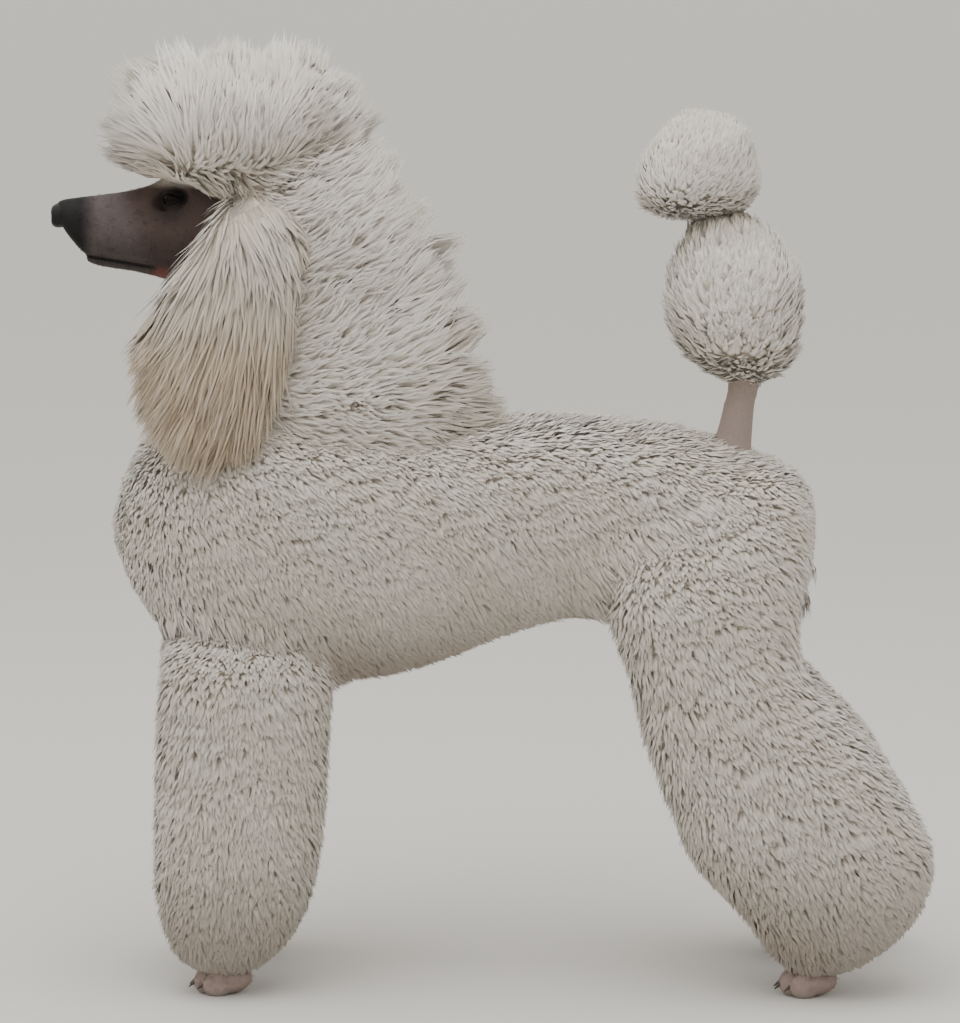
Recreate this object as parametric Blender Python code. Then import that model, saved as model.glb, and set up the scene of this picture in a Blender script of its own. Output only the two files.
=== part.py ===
"""Standard poodle in a full show coat, standing square, as a still life-size model.

Metres, +Z up. The dog faces -X, so its left side is -Y. The floor is z = 0 and the
origin is the middle of the footprint of the whole model.
"""

import math
import random

import bmesh
import bpy
from mathutils import Matrix, Vector
from mathutils.bvhtree import BVHTree

SEED = 7
JOINT_GAP = 0.0003      # clear gap between nodes that meet face to face
GROW = 0.00045          # how far a neighbour is grown before it is cut away, so that the gap holds at its edges

# Driving sizes of the animal
COAT_REACH = 0.012      # height of the short clumps on the trunk, legs and tail
LOCK_LEAST = 0.010      # a lock shorter than this is left out
STANCE_FRONT = 0.088    # foot line to the middle plane, front
STANCE_REAR = 0.098     # foot line to the middle plane, rear
FAR_STEP = -0.012       # how far ahead the right front foot stands
WAIST = 0.030           # where the trunk is parted, behind the last rib
SIDES = (("left", -1), ("right", 1))

WHITE = (0.86, 0.82, 0.75)
CREAM = (0.80, 0.70, 0.56)
SKIN = (0.16, 0.12, 0.11)
PINK = (0.55, 0.38, 0.34)
BLACK = (0.012, 0.011, 0.010)
EYE = (0.03, 0.015, 0.01)


def clear_scene():
    for obj in list(bpy.data.objects):
        bpy.data.objects.remove(obj)


def material(name, color, roughness):
    made = bpy.data.materials.new(name)
    made.use_nodes = True
    shader = made.node_tree.nodes["Principled BSDF"]
    shader.inputs["Base Color"].default_value = (*color, 1.0)
    shader.inputs["Roughness"].default_value = roughness
    shader.inputs["Metallic"].default_value = 0.0
    return made


def add_object(name, bm, mat=None):
    """Makes an object of bm, in triangles, so that a bent quad has one shape in every step."""
    bmesh.ops.triangulate(bm, faces=bm.faces)
    bmesh.ops.recalc_face_normals(bm, faces=bm.faces)
    mesh = bpy.data.meshes.new(name)
    bm.to_mesh(mesh)
    bm.free()
    obj = bpy.data.objects.new(name, mesh)
    dog.objects.link(obj)
    if mat:
        mesh.materials.append(mat)
    return obj


# Lofts. A station is (x, z, depth, width, y, tilt): the middle of the section, its half size
# along the section's own axis in the XZ plane, its half size along Y, its place along Y, and
# the angle of that axis from +X in degrees.

def curve_station(rows, t):
    """The station at t from 0 to 1 along a smooth curve through the given rows."""
    last = len(rows) - 1
    i = min(int(t * last), last - 1)
    f = t * last - i
    a, b = rows[max(i - 1, 0)], rows[i]
    c, d = rows[i + 1], rows[min(i + 2, last)]
    return [
        0.5 * (2 * q + (r - p) * f + (2 * p - 5 * q + 4 * r - s) * f * f
               + (3 * q - p - 3 * r + s) * f ** 3)
        for p, q, r, s in zip(a, b, c, d)
    ]


def smooth_stations(rows, count):
    """count stations along the curve through rows, evenly spaced over the surface of its loft."""
    fine = [curve_station(rows, k / 240) for k in range(241)]
    along = [0.0]
    for one, two in zip(fine, fine[1:]):
        along.append(along[-1] + math.dist(one[:4], two[:4]))
    made, k = [], 0
    for n in range(count):
        target = along[-1] * n / (count - 1)
        while k < 239 and along[k + 1] < target:
            k += 1
        share = (target - along[k]) / (along[k + 1] - along[k])
        made.append([p + (q - p) * share for p, q in zip(fine[k], fine[k + 1])])
    return made


def section(station, sides, turn, square, egg):
    """Points of one oval section. square over 2 fills its corners, and egg over 0 widens
    the end that its own axis points to."""
    x, z, depth, width, y, tilt = station
    along = Vector((math.cos(math.radians(tilt)), 0, math.sin(math.radians(tilt))))
    points = []
    for k in range(sides):
        angle = 2 * math.pi * (k + turn) / sides
        u, v = math.cos(angle), math.sin(angle)
        u = math.copysign(abs(u) ** (2 / square), u)
        v = math.copysign(abs(v) ** (2 / square), v) * (1 + egg * u)
        points.append(Vector((x, y, z)) + along * (u * depth) + Vector((0, v * width, 0)))
    return points


def loft(rows, count, sides, square=2.2, egg=0.0, stagger=0.0):
    """A closed bmesh through count sections. stagger turns every second section."""
    bm = bmesh.new()
    rings = []
    for k, station in enumerate(smooth_stations(rows, count)):
        points = section(station, sides, stagger * (k % 2), square, egg)
        rings.append([bm.verts.new(p) for p in points])
    for low, high in zip(rings, rings[1:]):
        for i in range(sides):
            j = (i + 1) % sides
            bm.faces.new((low[i], low[j], high[j], high[i]))
    bm.faces.new(rings[0])
    bm.faces.new(rings[-1])
    bmesh.ops.recalc_face_normals(bm, faces=bm.faces)
    return bm


# Booleans. Each is applied at once, and the pieces that went in are removed.

def largest_surface(bm):
    """Keeps only the largest closed surface of bm."""
    left = set(bm.faces)
    shells = []
    while left:
        shell, border = set(), [left.pop()]
        while border:
            face = border.pop()
            shell.add(face)
            joined = [e.link_faces for e in face.edges if len(e.link_faces) == 2]
            for other in [f for pair in joined for f in pair if f in left]:
                left.discard(other)
                border.append(other)
        shells.append(shell)
    keep = max(shells, key=len)
    drop = [f for f in bm.faces if f not in keep]
    bmesh.ops.delete(bm, geom=drop, context="FACES")


def tidy(mesh):
    """Makes mesh its largest closed surface in triangles, without doubled points if it stays
    closed without them."""
    for merge in (1e-5, 2e-6, 0):
        bm = bmesh.new()
        bm.from_mesh(mesh)
        if merge:
            bmesh.ops.remove_doubles(bm, verts=bm.verts, dist=merge)
            bmesh.ops.dissolve_degenerate(bm, edges=bm.edges, dist=merge)
        bmesh.ops.triangulate(bm, faces=bm.faces)
        largest_surface(bm)
        closed = all(len(e.link_faces) == 2 for e in bm.edges)
        if closed or not merge:
            bm.to_mesh(mesh)
        bm.free()
        if closed:
            return


def boolean(obj, pieces, operation):
    group = bpy.data.collections.new(obj.name + "_pieces")
    bpy.context.scene.collection.children.link(group)
    for piece in pieces:
        dog.objects.unlink(piece)
        group.objects.link(piece)
    step = obj.modifiers.new("join", "BOOLEAN")
    step.operation = operation
    step.operand_type = "COLLECTION"
    step.collection = group
    step.solver = "MANIFOLD"
    graph = bpy.context.evaluated_depsgraph_get()
    mesh = bpy.data.meshes.new_from_object(obj.evaluated_get(graph))
    obj.modifiers.clear()
    obj.data = mesh
    for piece in pieces:
        bpy.data.objects.remove(piece)
    bpy.data.collections.remove(group)
    tidy(mesh)
    return obj


def grown(obj, by):
    """A copy of obj with its surface moved out by that much, as a cutter."""
    copy = bpy.data.objects.new(obj.name + "_grown", obj.data.copy())
    dog.objects.link(copy)
    bm = bmesh.new()
    bm.from_mesh(copy.data)
    bm.normal_update()
    for vert in bm.verts:
        vert.co += vert.normal * by * min(vert.calc_shell_factor(), 2.0)
    bm.to_mesh(copy.data)
    bm.free()
    return copy


def clear_of(obj, neighbours, by=GROW):
    """Cuts obj clear of its neighbours by the gap that meeting nodes keep."""
    return boolean(obj, [grown(n, by) for n in neighbours], "DIFFERENCE")


def cut_flat(bm, place, way):
    """Removes what lies past a plane, on the side of way, and closes the cut."""
    geom = bm.verts[:] + bm.edges[:] + bm.faces[:]
    cut = bmesh.ops.bisect_plane(
        bm, geom=geom, plane_co=place, plane_no=way, clear_outer=True, dist=1e-6)
    edges = [e for e in cut["geom_cut"] if isinstance(e, bmesh.types.BMEdge) and e.is_boundary]
    bmesh.ops.holes_fill(bm, edges=edges)
    return bm


def near_test(guides, margin=0.0):
    """A function that says whether a point lies in any of the closed shapes, or within margin."""
    trees = [BVHTree.FromBMesh(guide) for guide in guides]
    way = Vector((0.31, 0.87, 0.38)).normalized()

    def inside(tree, point):
        crossings = 0
        hit = tree.ray_cast(point, way)[0]
        while hit:
            crossings += 1
            hit = tree.ray_cast(hit + way * 1e-5, way)[0]
        return crossings % 2 == 1

    def near(point, normal=None):
        return any(inside(tree, point) or tree.find_nearest(point)[3] < margin for tree in trees)

    return near


# Coat. Each clump or lock is drawn out of one face of a loft. Neighbours lean alike and taper, so
# that they overlap along their lie and don't cross.

def smoothstep(low, high, value):
    """0 at low, 1 at high, and smooth between them; high may be the lower number."""
    t = max(0.0, min(1.0, (value - low) / (high - low)))
    return t * t * (3 - 2 * t)


def draw_out(bm, face, path, sizes, rng, ragged=0.0):
    """Draws face out along path, a list of offsets from its middle, with its outline at the
    given shares of its own size. The last offset is the tip."""
    middle = face.calc_center_median()
    corners = [vert.co - middle for vert in face.verts]
    for offset, size in zip(path[:-1], sizes):
        face = bmesh.ops.extrude_discrete_faces(bm, faces=[face])["faces"][0]
        for vert, corner in zip(face.verts, corners):
            vert.co = middle + offset + corner * size * rng.uniform(1 - ragged, 1 + ragged)
    tip = bmesh.ops.poke(bm, faces=[face])["verts"][0]
    tip.co = middle + path[-1]


def raise_clumps(bm, reach, lean, skip, rng, shag=0.35):
    """A short rounded clump on each quad of bm that skip doesn't name. lean is the way that its
    top leans, as a share of its height."""
    bm.normal_update()
    for face in list(bm.faces):
        middle, normal = face.calc_center_median(), face.normal.copy()
        if skip(middle, normal):
            continue
        height = reach * rng.uniform(1 - shag, 1)
        side = lean * height + Vector([rng.uniform(-0.2, 0.2) * height for _ in "xyz"])
        draw_out(bm, face, [normal * height * 0.72 + side, normal * height + side * 1.2],
                 [rng.uniform(0.58, 0.72)], rng, 0.06)


def raise_locks(bm, outer, lie, skip, rng, lift=0.5, shag=0.16, limit=0.2, steps=(0.4, 0.75),
                sizes=(0.80, 0.50), stray=0.10):
    """A flat bent lock on each quad of bm that skip doesn't name. It leaves between the quad's
    normal and lie(place, normal), turns to the latter, and ends near the surface of outer, or
    after the length limit. stray is how far its tip may wander, as a share of its length."""
    reach = BVHTree.FromBMesh(outer)
    bm.normal_update()
    for face in [f for f in bm.faces if len(f.verts) == 4]:
        middle, normal = face.calc_center_median(), face.normal.copy()
        if skip(middle, normal):
            continue
        end = lie(middle, normal).normalized()
        start = (normal * lift + end * (1 - lift)).normalized()
        hit = reach.ray_cast(middle, (start + end).normalized())
        if hit[0] is None:
            continue
        length = min(hit[3], limit) * rng.uniform(1 - shag, 1 + shag * 0.2)
        if length < LOCK_LEAST:
            continue
        drift = Vector([rng.uniform(-stray, stray) * length for _ in "xyz"])
        path = [(start * (t - t * t / 2) + end * (t * t / 2)) * length * 1.08 + drift * t * t
                for t in (*steps, 1.0)]
        draw_out(bm, face, path, sizes, rng, 0.8 * stray)


def blob(name, place, size, segments=10, rings=7, turn=None):
    """An ellipsoid with its half sizes in size, turned by the matrix turn."""
    bm = bmesh.new()
    bmesh.ops.create_uvsphere(bm, u_segments=segments, v_segments=rings, radius=1.0)
    bmesh.ops.transform(bm, matrix=Matrix.Diagonal((*size, 1)), verts=bm.verts)
    if turn:
        bmesh.ops.transform(bm, matrix=turn, verts=bm.verts)
    bmesh.ops.translate(bm, vec=place, verts=bm.verts)
    return add_object(name, bm)


def bar(name, start, end, r_start, r_end, sides=8):
    """A tapered rod from start to end."""
    start, end = Vector(start), Vector(end)
    bm = bmesh.new()
    bmesh.ops.create_cone(
        bm, cap_ends=True, segments=sides, radius1=r_start, radius2=r_end,
        depth=(end - start).length)
    turn = (end - start).to_track_quat("Z", "Y").to_matrix().to_4x4()
    bmesh.ops.transform(bm, matrix=Matrix.Translation((start + end) / 2) @ turn, verts=bm.verts)
    return add_object(name, bm)


# Trunk, neck and legs, as stations at the tips of the coat: x, z, depth, width, y, tilt.

TRUNK = [
    (0.347, 0.508, 0.036, 0.034, 0, 90),      # rump
    (0.334, 0.490, 0.078, 0.074, 0, 90),
    (0.290, 0.489, 0.099, 0.098, 0, 90),      # croup
    (0.200, 0.506, 0.112, 0.108, 0, 90),
    (0.100, 0.516, 0.113, 0.110, 0, 90),      # loin and tuck-up
    (0.020, 0.508, 0.123, 0.122, 0, 90),      # last rib
    (-0.080, 0.4945, 0.1475, 0.140, 0, 90),
    (-0.180, 0.495, 0.165, 0.152, 0, 90),     # deepest part of the chest
    (-0.270, 0.503, 0.165, 0.152, 0, 90),     # shoulder
    (-0.335, 0.5075, 0.1405, 0.136, 0, 90),
    (-0.375, 0.5105, 0.1075, 0.108, 0, 90),
    (-0.400, 0.5085, 0.0635, 0.068, 0, 90),
    (-0.411, 0.505, 0.030, 0.032, 0, 90),     # breastbone
]
NECK = [
    (-0.175, 0.560, 0.190, 0.118, 0, 0),
    (-0.172, 0.640, 0.200, 0.122, 0, 0),
    (-0.171, 0.700, 0.189, 0.112, 0, 0),
    (-0.1775, 0.760, 0.1675, 0.108, 0, 0),
    (-0.173, 0.820, 0.137, 0.106, 0, 0),
    (-0.1675, 0.870, 0.1025, 0.104, 0, 0),
    (-0.1675, 0.920, 0.0700, 0.090, 0, 0),
    (-0.175, 0.960, 0.040, 0.055, 0, 0),
]
NECK_CORE = [
    (-0.170, 0.570, 0.140, 0.098, 0, 0),
    (-0.180, 0.640, 0.135, 0.096, 0, 0),
    (-0.200, 0.700, 0.118, 0.088, 0, 0),
    (-0.205, 0.755, 0.112, 0.080, 0, 0),
    (-0.220, 0.820, 0.088, 0.074, 0, 0),
    (-0.218, 0.865, 0.072, 0.068, 0, 0),
    (-0.216, 0.905, 0.036, 0.040, 0, 0),
]
TOPKNOT = [
    (-0.330, 0.872, 0.050, 0.062, 0, 0),
    (-0.306, 0.892, 0.100, 0.098, 0, 0),
    (-0.290, 0.920, 0.145, 0.116, 0, 0),
    (-0.282, 0.955, 0.162, 0.124, 0, 0),
    (-0.283, 0.990, 0.150, 0.120, 0, 0),
    (-0.285, 1.016, 0.120, 0.100, 0, 0),
    (-0.2875, 1.038, 0.072, 0.060, 0, 0),
    (-0.290, 1.047, 0.020, 0.020, 0, 0),
]
TOPKNOT_CORE = [
    (-0.272, 0.868, 0.034, 0.044, 0, 0),
    (-0.278, 0.882, 0.076, 0.070, 0, 0),
    (-0.276, 0.900, 0.098, 0.082, 0, 0),
    (-0.272, 0.925, 0.102, 0.086, 0, 0),
    (-0.268, 0.950, 0.084, 0.072, 0, 0),
    (-0.270, 0.972, 0.050, 0.042, 0, 0),
    (-0.272, 0.982, 0.014, 0.012, 0, 0),
]
EAR = [
    (-0.243, 0.888, 0.016, 0.010, 0.064, 0),
    (-0.252, 0.862, 0.042, 0.020, 0.084, 0),
    (-0.266, 0.820, 0.062, 0.027, 0.103, 0),
    (-0.285, 0.770, 0.084, 0.031, 0.113, 0),
    (-0.300, 0.722, 0.096, 0.033, 0.119, 0),
    (-0.306, 0.672, 0.090, 0.032, 0.125, 0),
    (-0.304, 0.622, 0.074, 0.026, 0.134, 0),
    (-0.303, 0.582, 0.048, 0.018, 0.142, 0),
    (-0.303, 0.562, 0.020, 0.010, 0.145, 0),
]
EAR_CORE = [
    (-0.243, 0.886, 0.012, 0.007, 0.062, 0),
    (-0.250, 0.862, 0.034, 0.012, 0.080, 0),
    (-0.262, 0.820, 0.050, 0.015, 0.099, 0),
    (-0.279, 0.770, 0.062, 0.016, 0.108, 0),
    (-0.294, 0.722, 0.064, 0.016, 0.114, 0),
    (-0.300, 0.676, 0.052, 0.014, 0.120, 0),
    (-0.302, 0.636, 0.026, 0.009, 0.128, 0),
]
EAR_CUP = Vector((-0.258, 0.084, 0.835))
NAPE = Vector((-0.235, 0, 0.885))             # the topknot and the mane part along a plane here
NAPE_WAY = Vector((-0.66, 0, 0.75)).normalized()
FRONT_LEG = [
    (-0.268, 0.425, 0.060, 0.036, -0.034, 0),
    (-0.268, 0.395, 0.085, 0.054, -0.016, 0),
    (-0.268, 0.360, 0.097, 0.064, 0, 0),
    (-0.272, 0.300, 0.097, 0.067, 0, 0),
    (-0.276, 0.200, 0.096, 0.067, 0, 0),
    (-0.283, 0.120, 0.090, 0.066, 0, 0),
    (-0.288, 0.070, 0.075, 0.060, 0, 0),
    (-0.293, 0.042, 0.056, 0.048, 0, 0),
    (-0.295, 0.030, 0.038, 0.034, 0, 0),
]
HIND_LEG = [
    (0.252, 0.565, 0.062, 0.026, -0.042, 0),
    (0.247, 0.535, 0.094, 0.042, -0.036, 0),
    (0.236, 0.480, 0.110, 0.054, -0.022, 0),
    (0.228, 0.430, 0.108, 0.061, -0.013, 0),
    (0.231, 0.390, 0.103, 0.062, -0.008, 2),
    (0.243, 0.350, 0.095, 0.060, -0.004, 6),
    (0.263, 0.305, 0.108, 0.062, 0, 10),
    (0.302, 0.243, 0.122, 0.070, 0, 12),
    (0.329, 0.191, 0.129, 0.076, 0, 10),
    (0.352, 0.148, 0.131, 0.078, 0, 6),
    (0.362, 0.108, 0.112, 0.074, 0, 0),
    (0.366, 0.075, 0.089, 0.064, 0, 0),
    (0.360, 0.045, 0.060, 0.048, 0, 0),
    (0.348, 0.030, 0.036, 0.034, 0, 0),
]
KNEE = Vector((0.25, 0, 0.335))
KNEE_WAY = Vector((-0.18, 0, 1)).normalized()
TAIL_ROOT = Vector((0.261, 0, 0.585))
TAIL_DOCK = Vector((0.278, 0, 0.672))
TAIL_POM = [
    (0.277, 0.6645, 0.030, 0.028, 0, 0),
    (0.276, 0.675, 0.050, 0.048, 0, 0),
    (0.268, 0.700, 0.072, 0.068, 0, 0),
    (0.262, 0.745, 0.081, 0.076, 0, 0),
    (0.262, 0.790, 0.076, 0.070, 0, 0),
    (0.258, 0.825, 0.055, 0.052, 0, 0),
    (0.250, 0.848, 0.034, 0.034, 0, 0),
]
TAIL_TUFT = [
    (0.249, 0.8485, 0.034, 0.034, 0, 12),
    (0.236, 0.862, 0.062, 0.056, 0, 20),
    (0.220, 0.885, 0.073, 0.066, 0, 22),
    (0.214, 0.915, 0.068, 0.062, 0, 22),
    (0.211, 0.940, 0.046, 0.044, 0, 20),
    (0.211, 0.954, 0.018, 0.018, 0, 20),
]


def moved(rows, x=0.0, side=1, y=0.0, inset=0.0):
    """Rows moved in X, set at y on one side, with their sections smaller by inset."""
    return [(r[0] + x, r[1], r[2] - inset, r[3] - inset, side * (r[4] + y), r[5]) for r in rows]


def half_space(name, place, way, reach=0.6):
    """A block that fills what lies past a plane, on the side of way."""
    bm = bmesh.new()
    bmesh.ops.create_cube(bm, size=2 * reach)
    bmesh.ops.translate(bm, vec=(0, 0, reach), verts=bm.verts)
    turn = way.to_track_quat("Z", "Y").to_matrix().to_4x4()
    bmesh.ops.transform(bm, matrix=Matrix.Translation(place) @ turn, verts=bm.verts)
    return add_object(name, bm)


# Head

EYE_RADIUS = 0.0122
EYE_PLACE = Vector((-0.345, 0.0292, 0.864))
EYE_LOOK = Vector((-0.48, 0.86, 0.12)).normalized()
LID_WIDTH = 0.0130      # half length of the opening between the lids
LID_HEIGHT = 0.0084     # its half height
LID_THICK = 0.0024
HEAD = [
    (-0.4690, 0.8345, 0.0110, 0.0110, 0, 118),
    (-0.4655, 0.8335, 0.0225, 0.0180, 0, 118),
    (-0.4580, 0.8320, 0.0320, 0.0222, 0, 115),
    (-0.4430, 0.8300, 0.0360, 0.0240, 0, 108),
    (-0.4240, 0.8290, 0.0385, 0.0258, 0, 100),
    (-0.4050, 0.8285, 0.0415, 0.0276, 0, 94),    # middle of the muzzle
    (-0.3850, 0.8285, 0.0460, 0.0305, 0, 90),
    (-0.3680, 0.8295, 0.0510, 0.0345, 0, 90),   # stop
    (-0.3500, 0.8320, 0.0590, 0.0410, 0, 90),   # eyes
    (-0.3300, 0.8340, 0.0660, 0.0480, 0, 90),
    (-0.3000, 0.8370, 0.0700, 0.0535, 0, 90),   # cheeks
    (-0.2750, 0.8410, 0.0670, 0.0545, 0, 90),
    (-0.2550, 0.8460, 0.0580, 0.0500, 0, 90),
    (-0.2400, 0.8530, 0.0410, 0.0380, 0, 90),   # occiput
    (-0.2330, 0.8560, 0.0200, 0.0200, 0, 90),
]
NOSE = [
    (-0.4815, 0.8450, 0.0045, 0.0070, 0, 90),
    (-0.4800, 0.8445, 0.0105, 0.0125, 0, 90),
    (-0.4740, 0.8450, 0.0135, 0.0160, 0, 90),
    (-0.4660, 0.8475, 0.0140, 0.0168, 0, 90),
    (-0.4580, 0.8510, 0.0120, 0.0150, 0, 90),
    (-0.4530, 0.8530, 0.0085, 0.0110, 0, 90),
]
MOUTH = Vector((-0.367, 0, 0.790))            # corner of the mouth
MOUTH_WAY = Vector((0.155, 0, 1)).normalized()
LIP_GAP = 0.0008
JAW = [
    (-0.4430, 0.8000, 0.0045, 0.0080, 0, 90),
    (-0.4370, 0.7985, 0.0062, 0.0118, 0, 90),
    (-0.4250, 0.7970, 0.0078, 0.0142, 0, 90),
    (-0.4080, 0.7955, 0.0090, 0.0162, 0, 90),
    (-0.3900, 0.7940, 0.0100, 0.0185, 0, 90),
    (-0.3600, 0.7920, 0.0115, 0.0235, 0, 90),
]


def mouth_space():
    """The space under the upper lips, as far back as the corner of the mouth."""
    bm = bmesh.new()
    bmesh.ops.create_cube(bm, size=1.0)
    bmesh.ops.scale(bm, vec=(0.2, 0.1, 0.06), verts=bm.verts)
    bmesh.ops.translate(bm, vec=(-0.1, 0, -0.03), verts=bm.verts)
    turn = Vector(MOUTH_WAY).rotation_difference(Vector((0, 0, 1))).to_matrix().to_4x4().inverted()
    bmesh.ops.transform(bm, matrix=Matrix.Translation(MOUTH) @ turn, verts=bm.verts)
    return add_object("mouth_space", bm)


def eyelids(side):
    """The rim of both lids, an oval ring round the eye's line of sight."""
    bm = bmesh.new()
    rings = []
    around, through = 12, 4
    for i in range(around):
        a = 2 * math.pi * i / around
        middle = Vector((math.cos(a) * LID_WIDTH, math.sin(a) * LID_HEIGHT, 0))
        out = Vector((math.cos(a), math.sin(a), 0))
        ring = []
        for j in range(through):
            b = 2 * math.pi * j / through
            ring.append(bm.verts.new(middle + out * math.cos(b) * LID_THICK
                                     + Vector((0, 0, math.sin(b) * LID_THICK * 1.5))))
        rings.append(ring)
    for i in range(around):
        ring, nxt = rings[i], rings[(i + 1) % around]
        for j in range(through):
            k = (j + 1) % through
            bm.faces.new((ring[j], ring[k], nxt[k], nxt[j]))
    look = Vector((EYE_LOOK.x, EYE_LOOK.y * side, EYE_LOOK.z))
    place = Vector((EYE_PLACE.x, EYE_PLACE.y * side, EYE_PLACE.z)) + look * 0.0055
    turn = look.to_track_quat("Z", "Y").to_matrix().to_4x4()
    bmesh.ops.transform(bm, matrix=Matrix.Translation(place) @ turn, verts=bm.verts)
    return add_object("eyelids", bm)


def make_head():
    eyes = []
    for word, side in SIDES:
        place = Vector((EYE_PLACE.x, EYE_PLACE.y * side, EYE_PLACE.z))
        eyes.append(blob("eye_" + word, place, [EYE_RADIUS] * 3, 10, 7))
        eyes[-1].data.materials.append(EYE_BROWN)
    nose = add_object("nose", loft(NOSE, 6, 10), NOSE_LEATHER)
    nostrils = []
    for side in (-1, 1):
        nostrils.append(blob("nostril", (-0.4795, side * 0.0075, 0.8435), (0.005, 0.0032, 0.0042), 7, 5))
    boolean(nose, nostrils, "DIFFERENCE")
    head = add_object("head", loft(HEAD, 16, 16), FACE_SKIN)
    boolean(head, [eyelids(-1), eyelids(1)], "UNION")
    boolean(head, [mouth_space()], "DIFFERENCE")
    clear_of(head, eyes + [nose])
    jaw = add_object("lower_jaw", loft(JAW, 10, 12), FACE_SKIN)
    boolean(jaw, [half_space("lips", MOUTH - MOUTH_WAY * LIP_GAP, MOUTH_WAY)], "DIFFERENCE")
    clear_of(jaw, [head])
    return head, jaw, nose, eyes


# Feet

FOOT_LENGTH = 0.066
FOOT_WIDTH = 0.050
FOOT_HEIGHT = 0.034


def make_foot(name, x, y):
    """A tight, arched foot whose four toes point to -X. x is the middle of its length."""
    pieces = []
    front = x - FOOT_LENGTH / 2
    for across, back in ((-0.36, 0.010), (-0.13, 0.0), (0.13, 0.0), (0.36, 0.010)):
        toe = Vector((front + back + 0.017, y + across * FOOT_WIDTH * 0.92, FOOT_HEIGHT * 0.38))
        pieces.append(blob(name + "_toe", toe, (0.0165, 0.0080, FOOT_HEIGHT * 0.46), 5, 4))
        start = toe + Vector((-0.008, 0, 0.001))
        pieces.append(bar(name + "_claw", start, start + Vector((-0.0125, 0, -0.0065)), 0.0026, 0.0009, 3))
    foot = blob(name, (x + 0.004, y, FOOT_HEIGHT * 0.50), (FOOT_LENGTH * 0.42, FOOT_WIDTH * 0.44,
                                                          FOOT_HEIGHT * 0.55), 7, 4)
    boolean(foot, pieces, "UNION")
    boolean(foot, [half_space("floor", Vector((x, y, 0)), Vector((0, 0, -1)))], "DIFFERENCE")
    foot.data.materials.append(FOOT_SKIN)
    return foot


def plush(rows, count, sides, skip, rng, reach=COAT_REACH, lean=(0, 0, -0.25), square=2.2, x=0.0,
          side=1, y=0.0):
    """A loft inside the tips by reach, with a clump raised on each quad that skip doesn't name."""
    swell = 1 + 0.6 * (1 / math.cos(math.pi / sides) - 1)
    core = [(r[0], r[1], r[2] * swell, r[3] * swell, r[4], r[5]) for r in moved(rows, x, side, y, reach)]
    bm = loft(core, count, sides, square=square, stagger=0.5)
    raise_clumps(bm, reach, Vector(lean), skip, rng)
    return bm


def nowhere(place, normal):
    return False


def make_torso():
    """The trunk, parted behind the last rib."""
    rng = random.Random(SEED)
    guides = [loft(moved(HIND_LEG, 0, side, STANCE_REAR, inset=0.02), 12, 10) for _, side in SIDES]
    guides += [loft(moved(FRONT_LEG, 0, side, STANCE_FRONT, inset=0.02), 8, 10) for _, side in SIDES]
    guides.append(loft(moved(NECK, inset=0.03), 10, 12))
    whole = plush(TRUNK, 16, 12, near_test(guides), rng, lean=(0.5, 0, -0.35), square=2.3)
    bmesh.ops.triangulate(whole, faces=whole.faces)
    halves = []
    for name, way in (("chest", Vector((1, 0, 0))), ("loin", Vector((-1, 0, 0)))):
        waist = Vector((WAIST, 0, 0)) - way * JOINT_GAP / 2
        halves.append(add_object(name, cut_flat(whole.copy(), waist, way), COAT))
    return halves


def neck_lie(place, normal):
    """Up and back along the crest and its sides, down and forward on the throat."""
    rear = smoothstep(-0.30, -0.22, place.x)
    back = Vector((0.80, normal.y * 0.40, 0.60))
    front = Vector((-0.55, normal.y * 0.35, -0.80))
    return back * rear + front * (1 - rear)


def make_neck(neighbours):
    rng = random.Random(SEED + 1)
    core = loft(NECK_CORE, 9, 11, stagger=0.5)
    guides = [loft(moved(EAR, side=side), 14, 12) for _, side in SIDES] + [loft(HEAD, 20, 16)]
    near = near_test(guides)

    def skip(place, normal):
        return near(place) or near(place + normal * 0.02)

    raise_locks(core, loft(NECK, 16, 20), neck_lie, skip, rng, lift=0.55)
    bmesh.ops.triangulate(core, faces=core.faces)
    neck = add_object("neck", cut_flat(core, NAPE - NAPE_WAY * JOINT_GAP / 2, NAPE_WAY), COAT)
    return clear_of(neck, neighbours)


def topknot_lie(place, normal):
    """Up and back over the skull, with the front locks curling forward over the brow."""
    front = smoothstep(-0.31, -0.36, place.x)
    rear = smoothstep(-0.26, -0.19, place.x)
    middle = Vector((0.20, normal.y * 0.6, 0.95))
    brow = Vector((-0.75, normal.y * 0.4, 0.45))
    nape = Vector((0.72, normal.y * 0.5, 0.72))
    lie = middle * (1 - front) * (1 - rear) + brow * front + nape * rear
    temple = Vector((0.70, normal.y * 0.75, -0.10))
    low = smoothstep(0.915, 0.885, place.z) * (1 - front)
    return lie * (1 - low) + temple * low


def make_topknot(neighbours, ears):
    rng = random.Random(SEED + 2)
    core = loft(TOPKNOT_CORE, 8, 10, stagger=0.5)
    near = near_test([loft(HEAD, 20, 16)] + [loft(moved(EAR, side=side), 14, 12) for _, side in SIDES],
                     0.004)

    def skip(place, normal):
        return near(place) or near(place + normal * 0.015) or place.x < -0.30 and place.z < 0.886

    raise_locks(core, loft(TOPKNOT, 14, 18), topknot_lie, skip, rng, lift=0.45)
    bmesh.ops.triangulate(core, faces=core.faces)
    topknot = add_object("topknot", cut_flat(core, NAPE + NAPE_WAY * JOINT_GAP / 2, -NAPE_WAY), COAT)
    clear_of(topknot, ears, 3 * GROW)
    return clear_of(topknot, neighbours)


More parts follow.
